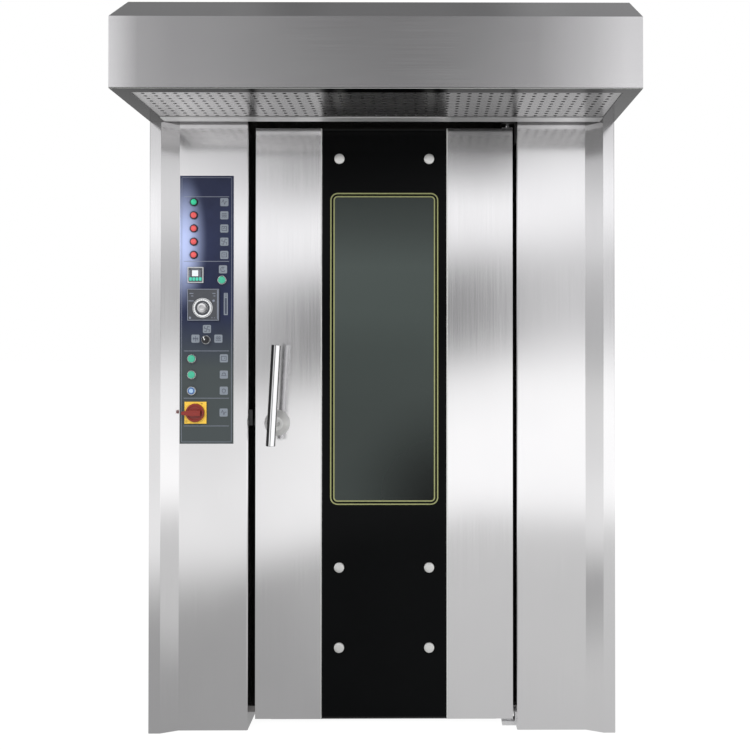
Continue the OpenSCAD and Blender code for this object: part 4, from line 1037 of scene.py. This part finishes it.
class RACKOVEN_OT_plate_print(bpy.types.Operator):
    """Prints the border, the dividing lines and the pictogram tiles on the control plate"""

    bl_idname = "rackoven.plate_print"
    bl_label = "Plate print"

    def execute(self, context):
        side = context.scene.rack_oven_sizes.tile
        softened_copy("control_plate", "navy_plate", CUT_EDGE)
        x0, z0 = PLATE_LO.x, PLATE_LO.z
        wide, tall = halves("control_plate")
        bm = bmesh.new()
        outer, inner = (
            round_rect(*centre("control_plate"), wide - inset, tall - inset, r)
            for inset, r in ((0.0052, 0.003), (0.0062, 0.002))
        )
        loop_band(bm, outer, inner, PLATE_LO.y, 0, PRINT)
        for above in DIVIDERS:
            z, half = z0 + above, 0.0007
            inked(bm, strip(x0 + 0.0124, z - half, x0 + 0.1486, z + half), PLATE_LO.y)
        keep("plate_lines", bm, "print_line", "cabinet", "navy_plate")
        tiles, marks = bmesh.new(), bmesh.new()
        for right, above, lines in TILES:
            x, z = x0 + right, z0 + above
            inked(tiles, round_rect(x, z, side / 2, side / 2, 0.0035, 4), PLATE_LO.y)
            strokes(marks, x, z, side * 0.36, lines, 0.0016, PLATE_LO.y - PRINT, PRINT / 2)
        keep("pictogram_tiles", tiles, "print_tile", "cabinet", "navy_plate")
        keep("pictograms", marks, "print_mark", "cabinet", "navy_plate")
        return {"FINISHED"}


class RACKOVEN_OT_lamps(bpy.types.Operator):
    """Makes the five pilot lamps with dark bezels and domed lenses"""

    bl_idname = "rackoven.lamps"
    bl_label = "Pilot lamps"

    def execute(self, context):
        low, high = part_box("pilot_lamps")
        x = (low.x + high.x) / 2
        r = (high.x - low.x) / 2
        first, last = low.z + r, high.z - r
        lens = r - 0.0035
        bezel = [
            (0, -0.03), (r - 0.004, -0.03), (r - 0.004, 0), (r, 0), (r, 0.0028),
            (r - 0.0014, 0.005), (lens, 0.005), (lens, 0.002), (0, 0.002),
        ]
        arc = [math.radians(a) for a in (20, 40, 60, 80)]
        dome = [(0, 0.0105)] + [(lens * math.sin(a), 0.005 + 0.0055 * math.cos(a)) for a in arc]
        dome += [(lens, 0.0048), (lens, 0.002), (0, 0.002)]
        bezels, red, green = bmesh.new(), bmesh.new(), bmesh.new()
        for i in range(5):
            place = facing(x, PLATE_LO.y, first + (last - first) * i / 4)
            lathe(bezels, bezel, place, 36)
            lathe(green if i == 4 else red, dome, place, 32)
        for name, bm, finish in (
            ("lamp_bezels", bezels, "dark_plastic"),
            ("red_lenses", red, "red_lens"),
            ("green_lens", green, "green_lens"),
        ):
            keep(name, bm, finish, "cabinet", "pilot_lens", "pilot_lamps", 40)
        return {"FINISHED"}


class RACKOVEN_OT_instruments(bpy.types.Operator):
    """Dresses the timer, the temperature controller with its dial, and the slot indicator"""

    bl_idname = "rackoven.instruments"
    bl_label = "Instruments"

    def execute(self, context):
        self.timer()
        self.controller()
        self.dial()
        self.indicator()
        return {"FINISHED"}

    @staticmethod
    def timer():
        """The timer's face, display, keys and trims."""
        softened_copy("timer", "grey_plastic", MOULDED_EDGE)
        x, z = centre("timer")
        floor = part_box("timer")[0].y + RECESS
        front = floor - PRINT
        keys = [(0.0098 * i - 0.0147, -0.0125, 0.0039, 0.005, 0.0012) for i in range(4)]
        for name, finish, y, thick, rows in (
            ("timer_face", "dial_face", floor, PRINT, [(0, 0, 0.0208, 0.0208, 0.0008)]),
            ("timer_display", "display", front, 0.0008, [(-0.001, 0.005, 0.0095, 0.009, 0.001)]),
            ("timer_keys", "digits", front, 0.0012, keys),
        ):
            bm = bmesh.new()
            inked_rects(bm, x, z, rows, y, thick, 3)
            keep(name, bm, finish, "cabinet", "grey_plastic")
        trims = [
            (-0.017, 0.004, 0.0012, 0.011, 0.0006), (0.0135, 0.004, 0.0012, 0.011, 0.0006),
            (-0.001, 0.0175, 0.012, 0.0008, 0.0006),
        ]
        bm = bmesh.new()
        inked_rects(bm, x, z, trims, front)
        keep("timer_trims", bm, "print_line", "cabinet", "grey_plastic")

    @staticmethod
    def controller():
        """The temperature controller's rim, scale bar and small marks."""
        softened_copy("thermostat", "dial_face", MOULDED_EDGE)
        x, z = centre("thermostat")
        rim_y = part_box("thermostat")[0].y
        floor = rim_y + RECESS
        half = halves("thermostat")[0]
        bm = bmesh.new()
        outer, inner = (
            round_rect(x, z, half - inset, half - inset, 0.001, 3) for inset in (0.0004, 0.0022)
        )
        loop_band(bm, outer, inner, rim_y, 0, PRINT)
        right, up = x + half, half - 0.004
        inked(bm, strip(right - 0.0062, z - up, right - 0.0036, z + up), floor, 0.0016)
        dashes = (
            (-0.0385, 0.0115, 0.0098), (-0.036, 0.034, 0.006), (0.032, 0.034, 0.005),
            (-0.0335, 0.0265, 0.0035), (0.0335, 0.0265, 0.003),
        )
        dots = (
            (-0.04, -0.0395, 0.0035), (0.026, -0.0395, 0.0014), (0.034, -0.0395, 0.0014),
            (0.031, 0.012, 0.0036),
        )
        inked_rects(bm, x, z, [(u, v, half_w, 0.0012, 0.0008) for u, v, half_w in dashes], floor)
        inked_rects(bm, x, z, [(u, v, r, r, r * 0.95) for u, v, r in dots], floor, steps=4)
        keep("controller_marks", bm, "print_line", "cabinet", "dark_plastic")

    @staticmethod
    def dial():
        """The white dial with its printed scale and the turned knob in its middle."""
        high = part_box("thermostat_dial")[1]
        x, z = centre("thermostat_dial")
        rim = high.x - x
        front, disc = high.y - 0.016, 0.0038
        place = facing(x, front, z)
        bm = bmesh.new()
        profile = [
            (0, -0.012), (0.003, -0.012), (0.003, 0), (rim, 0), (rim, 0.0024),
            (rim - 0.0013, disc), (0, disc),
        ]
        lathe(bm, profile, place, 64)
        keep("dial_disc", bm, "white_plastic", "dial", "white_plastic", "thermostat_dial")
        bm = bmesh.new()
        top = front - disc
        for outer, inner in ((0.0285, 0.0272), (0.0222, 0.0162)):
            loop_band(bm, circle(x, z, outer, 48), circle(x, z, inner, 48), top, 0, 0.0004)
        ticks = [[(0.82 * a, 0.82 * b), (0.94 * a, 0.94 * b)] for a, b in ring_line(20, -60, 300)]
        strokes(bm, x, z, 0.0285, ticks, 0.0007, top, MARK)
        keep("dial_scale", bm, "dial_face", "dial", "dark_plastic")
        profile = [
            (0, disc), (0.0156, disc), (0.015, 0.0125), (0.0135, 0.0145), (0.0085, 0.0147),
            (0.0075, 0.0135), (0, 0.0132),
        ]
        bm = bmesh.new()
        lathe(bm, profile, place, 48)
        keep("dial_knob", bm, "polished_steel", "dial", "polished_steel", sharp=25)

    @staticmethod
    def indicator():
        """The slot indicator beside the controller."""
        x, z = PLATE_LO.x + 0.139, PLATE_LO.z + 0.4224
        wide, tall = 0.006, 0.0335
        front, thin = PLATE_LO.y - PRINT, PRINT / 2
        bm = bmesh.new()
        inked(bm, round_rect(x, z, wide, tall, 0.001, 3), PLATE_LO.y)
        keep("indicator_frame", bm, "print_tile", "cabinet", "navy_plate")
        bm = bmesh.new()
        inked(bm, round_rect(x, z - 0.006, wide * 0.52, tall * 0.72, 0.0008, 3), front, thin)
        steps = [(0, up, wide * 0.62, 0.0008, 0.0005) for up in (0.022, 0.0265, 0.0305)]
        inked_rects(bm, x, z, steps, front, thin)
        keep("indicator_slot", bm, "print_mark", "cabinet", "navy_plate")


class RACKOVEN_OT_buttons(bpy.types.Operator):
    """Makes the push-buttons, the selector and the main switch with their rings and marks"""

    bl_idname = "rackoven.buttons"
    bl_label = "Buttons and switches"

    def execute(self, context):
        rings = bmesh.new()
        bore, rim = 0.0114, 0.015
        collar = [
            (bore, 0.0002), (rim, 0.0002), (rim, 0.003), (0.0137, 0.0056), (0.0128, 0.007),
            (bore, 0.007), (bore, 0.0002),
        ]
        for node, finish in (
            ("start_button", "green_plastic"),
            ("upper_button", "green_plastic"),
            ("middle_button", "green_plastic"),
            ("lower_button", "blue_plastic"),
            ("selector_knob", None),
        ):
            x, z = centre(node)
            place = facing(x, PLATE_LO.y, z)
            lathe(rings, collar, place, 48)
            if finish:
                r = halves(node)[0]
                cap = [
                    (0, -0.0167), (0.006, -0.0167), (0.006, 0.0043), (r, 0.0043), (r, 0.0082),
                    (r - 0.0005, 0.0092), (r - 0.0016, 0.0099), (r * 0.6, 0.0102), (0, 0.0104),
                ]
                bm = bmesh.new()
                lathe(bm, cap, place, 48)
                keep(node + "_cap", bm, finish, node, finish, node, 30)
        x, z = centre("lower_button")
        bm = bmesh.new()
        outer, inner = circle(x, z, 0.0098, 40), circle(x, z, 0.0066, 40)
        loop_band(bm, outer, inner, PLATE_LO.y - 0.0099, -0.001, 0.0005)
        keep("lower_button_ring", bm, "deep_blue", "lower_button", "blue_plastic")
        bmesh.ops.remove_doubles(rings, verts=rings.verts, dist=1e-7)
        softened_copy("button_units", "polished_steel", 0.0004)
        keep("button_collars", rings, "polished_steel", "cabinet", "polished_steel", sharp=25)
        softened_copy("selector_knob", "dark_plastic", CUT_EDGE)
        bm = bmesh.new()
        pointer, front = [[(-0.15, 0.05), (-0.45, 0.85)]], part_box("selector_knob")[0].y
        strokes(bm, *centre("selector_knob"), 0.009, pointer, 0.0024, front, MARK)
        keep("selector_mark", bm, "white_plastic", "selector", "white_plastic")
        self.main_switch()
        return {"FINISHED"}

    @staticmethod
    def main_switch():
        """The yellow switch with its red knob, its grip and its two marks."""
        softened_copy("main_switch", "yellow_plastic", CUT_EDGE)
        x, z = centre("main_switch")
        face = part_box("main_switch")[0].y
        front, r, spindle, deep = face - 0.0003, 0.028, 0.005, 0.012
        profile = [
            (0, -deep), (spindle, -deep), (spindle, 0), (r, 0), (r, 0.0075),
            (r - 0.0008, 0.0092), (r - 0.0024, 0.01), (r * 0.78, 0.0102), (r * 0.74, 0.0086),
            (0, 0.0086),
        ]
        disc, lever, marks = bmesh.new(), bmesh.new(), bmesh.new()
        lathe(disc, profile, facing(x, front, z), 56)
        grip = [
            (-r - 0.009, -0.0045), (-r - 0.009, 0.0045), (-0.004, 0.009), (r - 0.009, 0.008),
            (r - 0.009, -0.008), (-0.004, -0.009),
        ]
        prism(lever, [(x + u, z + v) for u, v in grip], on_front(front), 0.0084, 0.0245)
        soften(lever, 0.0018, 3)
        red = ("red_plastic", "main_knob", "red_plastic")
        keep("switch_knob_disc", disc, *red, "main_switch_knob", 30)
        keep("switch_grip", lever, *red, sharp=30)
        dash, ring = [[(-0.8, 0.3), (0.2, -0.2)]], [ring_line(10, 0, 360, 0.8)]
        strokes(marks, x + 0.0205, z + 0.0275, 0.004, dash, 0.0012, face, MARK)
        strokes(marks, x - 0.0275, z - 0.0265, 0.003, ring, 0.0008, face, MARK)
        keep("switch_marks", marks, "dark_plastic", "cabinet", "yellow_plastic")


# The room as the steel mirrors it: bands over the height of a ray, each with its strength, and
# how they rise from its left to its right
BAND_CURVE = [
    (0.08, 0.5), (0.22, 0.1), (0.36, 0.06), (0.67, 0.6), (0.75, 0.62), (0.83, 0.76), (0.9, 0.86)
]
ROOM_BANDS = [
    (0.0, 1.0), (0.158, 1.0), (0.198, 0.2), (0.265, 0.17), (0.3, 1.2), (0.345, 1.2), (0.375, 0.3),
    (0.45, 0.3), (1.0, 0.35),
]
ROOM_LOW, ROOM_HIGH = -0.2, 0.8
BEARING_LEFT, BEARING_RIGHT = -0.3, 0.2
BAND_SWING = 0.05
WALL_START, WALL_END, WALL_SHARE = 0.085, 0.145, 0.42
WALL_CENTRE = -0.03
WALL_COLOUR = (1.12, 1.12, 1.13)
ROOM_LEVEL = 0.75
WHITE = grey(1.0)

# The floor as the steel mirrors it: nearer than its rim it is dim, beyond it bright as far as
# the foot of the bands
RIM_LEFT, RIM_RIGHT, RIM_SOFTNESS = 2.9, 4.6, 0.9
NEAR_LEFT, NEAR_RIGHT = 0.35, 0.46
GLARE_LEFT, GLARE_RIGHT = 0.86, 1.2
FOOT_START, FOOT_END, FOOT_LEVEL = 0.002, 0.042, 0.2
EYE_HEIGHT = 1.1
SEEN_WHITE = 1.06
GLOW_SHARE = 0.9


def band_rise(tree, bearing):
    """How far the studio's light bands stand above their usual height in a direction."""
    curve = ramp(tree, rescale(tree, bearing, BEARING_LEFT, BEARING_RIGHT), BAND_CURVE)
    return maths(tree, "MULTIPLY_ADD", curve, BAND_SWING, -BAND_SWING / 2)


def mixed(tree, factor, first, second):
    """Two shaders mixed."""
    node = add(tree, "MixShader", Fac=factor)
    plug(node.inputs[1], first)
    plug(node.inputs[2], second)
    return node.outputs[0]


def backdrop(tree, colour, strength=1.0):
    """A background shader."""
    return add(tree, "Background", Color=colour, Strength=strength).outputs[0]


def floor_paint():
    """White to the camera and in zones to the steel, with the oven's shadow kept."""
    mat = bpy.data.materials.new("studio floor")
    mat.use_nodes = True
    tree = mat.node_tree
    tree.nodes.clear()
    rays = add(tree, "LightPath").outputs
    reach = size_of(tree, add(tree, "TexCoord").outputs["Object"])
    rim = along(tree, "X", -0.85, 0.4, first=RIM_LEFT, last=RIM_RIGHT)
    dim = along(tree, "X", -0.7, 0.3, first=NEAR_LEFT, last=NEAR_RIGHT)
    past = maths(tree, "SUBTRACT", reach, rim)
    near = rescale(tree, past, -RIM_SOFTNESS, RIM_SOFTNESS, dim, 1.0, "SMOOTHSTEP")
    bearing = maths(tree, "DIVIDE", parts_of(tree, "Object")["X"], reach)
    dip = maths(tree, "DIVIDE", EYE_HEIGHT, reach)
    drop = maths(tree, "ADD", dip, band_rise(tree, bearing))
    glare = rescale(tree, bearing, -0.26, 0.08, GLARE_LEFT, GLARE_RIGHT)
    far = rescale(tree, drop, FOOT_START, FOOT_END, FOOT_LEVEL, glare, "SMOOTHSTEP")
    strength = add(tree, "Mix", data_type="FLOAT")
    plug(strength.inputs[0], rays["Is Camera Ray"])
    plug(strength.inputs[2], maths(tree, "MULTIPLY", near, far))
    plug(strength.inputs[3], SEEN_WHITE)
    glow = add(tree, "Emission", Strength=strength.outputs[0]).outputs["Emission"]
    seen = maths(tree, "MAXIMUM", rays["Is Camera Ray"], rays["Is Glossy Ray"])
    seen = maths(tree, "MAXIMUM", seen, rays["Is Transmission Ray"])
    matt = add(tree, "BsdfDiffuse", Color=grey(0.8)).outputs["BSDF"]
    surface = mixed(tree, maths(tree, "MULTIPLY", seen, GLOW_SHARE), matt, glow)
    add(tree, "OutputMaterial", Surface=surface)
    return mat


def studio_light(tree):
    """A pale room with a dark band low on its far walls and a dim ceiling, as metal sees it."""
    tree.nodes.clear()
    rays = add(tree, "LightPath").outputs
    way = parts_of(tree, "Generated")
    height = maths(tree, "SUBTRACT", way["Z"], band_rise(tree, way["X"]))
    bands = [(place, (g, g, g * 1.01)) for place, g in ROOM_BANDS]
    room = ramp(tree, rescale(tree, height, ROOM_LOW, ROOM_HIGH), bands)
    aside = maths(tree, "ABSOLUTE", maths(tree, "SUBTRACT", way["X"], WALL_CENTRE))
    walls = rescale(tree, aside, WALL_START, WALL_END, 0.0, WALL_SHARE, "SMOOTHSTEP")
    mirrored = backdrop(tree, blended(tree, walls, room, WALL_COLOUR))
    plain = backdrop(tree, WHITE, ROOM_LEVEL)
    light = mixed(tree, rays["Is Glossy Ray"], plain, mirrored)
    direct = maths(tree, "MAXIMUM", rays["Is Camera Ray"], rays["Is Transmission Ray"])
    add(tree, "OutputWorld", Surface=mixed(tree, direct, light, backdrop(tree, WHITE)))


# Soft lamps: place, side and power, all aimed at the middle of the oven
LAMPS = {"front_fill": ((-2.2, -5.0, 3.6), 3.0, 160.0), "right_fill": ((3.6, -4.0, 2.6), 2.5, 70.0)}
CAMERA_PLACE = (0.1250, -3.7462, 1.1697)
CAMERA_TURN = (math.pi / 2 + 0.0096, 0.0, -0.0054)
CAMERA_LENS = 48.63
CAMERA_SHIFT = (-0.0724, -0.0562)


class RACKOVEN_OT_stage(bpy.types.Operator):
    """Sets the floor, the studio light and the camera"""

    bl_idname = "rackoven.stage"
    bl_label = "Stage"

    def execute(self, context):
        scene = context.scene
        scene.view_settings.view_transform = "Standard"
        mesh = bpy.data.meshes.new("studio_floor")
        bm = bmesh.new()
        bmesh.ops.create_grid(bm, x_segments=2, y_segments=2, size=60.0)
        bm.to_mesh(mesh)
        bm.free()
        mesh.materials.append(floor_paint())
        floor = bpy.data.objects.new("studio_floor", mesh)
        floor.location = (0, 0, -0.001)
        scene.collection.objects.link(floor)
        scene.world = bpy.data.worlds.new("studio")
        scene.world.use_nodes = True
        studio_light(scene.world.node_tree)
        for name, (place, side, power) in LAMPS.items():
            lamp = bpy.data.lights.new(name, "AREA")
            lamp.size = side
            lamp.energy = power
            obj = bpy.data.objects.new(name, lamp)
            scene.collection.objects.link(obj)
            obj.location = place
            look = Vector((0, 0, 1.0)) - Vector(place)
            obj.rotation_euler = look.to_track_quat("-Z", "Y").to_euler()
            obj.visible_glossy = False
        camera = bpy.data.cameras.new("photograph")
        camera.sensor_width = 36.0
        camera.lens = CAMERA_LENS
        camera.shift_x, camera.shift_y = CAMERA_SHIFT
        camera.clip_end = 200.0
        eye = bpy.data.objects.new("photograph", camera)
        eye.location = CAMERA_PLACE
        eye.rotation_euler = CAMERA_TURN
        scene.collection.objects.link(eye)
        scene.camera = eye
        return {"FINISHED"}


STEPS = (
    RACKOVEN_OT_finish_frame,
    RACKOVEN_OT_front_columns,
    RACKOVEN_OT_hood,
    RACKOVEN_OT_door_skins,
    RACKOVEN_OT_door_glass,
    RACKOVEN_OT_handle,
    RACKOVEN_OT_filter_shade,
    RACKOVEN_OT_plate_print,
    RACKOVEN_OT_lamps,
    RACKOVEN_OT_instruments,
    RACKOVEN_OT_buttons,
    RACKOVEN_OT_stage,
)


class RACKOVEN_PT_sidebar(bpy.types.Panel):
    """Lists the oven's sizes, colours and pieces"""

    bl_idname = "RACKOVEN_PT_sidebar"
    bl_label = "Rack oven"
    bl_space_type = "VIEW_3D"
    bl_region_type = "UI"
    bl_category = "Oven"

    def draw(self, context):
        for group in (context.scene.rack_oven_sizes, context.scene.rack_oven_colours):
            box = self.layout.box()
            for key in group.__annotations__:
                box.prop(group, key)
        for step in STEPS:
            self.layout.operator(step.bl_idname)


CLASSES = (RackOvenSizes, RackOvenColours, *STEPS, RACKOVEN_PT_sidebar)


def register():
    for cls in CLASSES:
        bpy.utils.register_class(cls)
    bpy.types.Scene.rack_oven_sizes = PointerProperty(type=RackOvenSizes)
    bpy.types.Scene.rack_oven_colours = PointerProperty(type=RackOvenColours)


def unregister():
    del bpy.types.Scene.rack_oven_colours
    del bpy.types.Scene.rack_oven_sizes
    for cls in reversed(CLASSES):
        bpy.utils.unregister_class(cls)


def main():
    register()
    for step in STEPS:
        group, call = step.bl_idname.split(".")
        getattr(getattr(bpy.ops, group), call)()


if __name__ == "__main__":
    main()
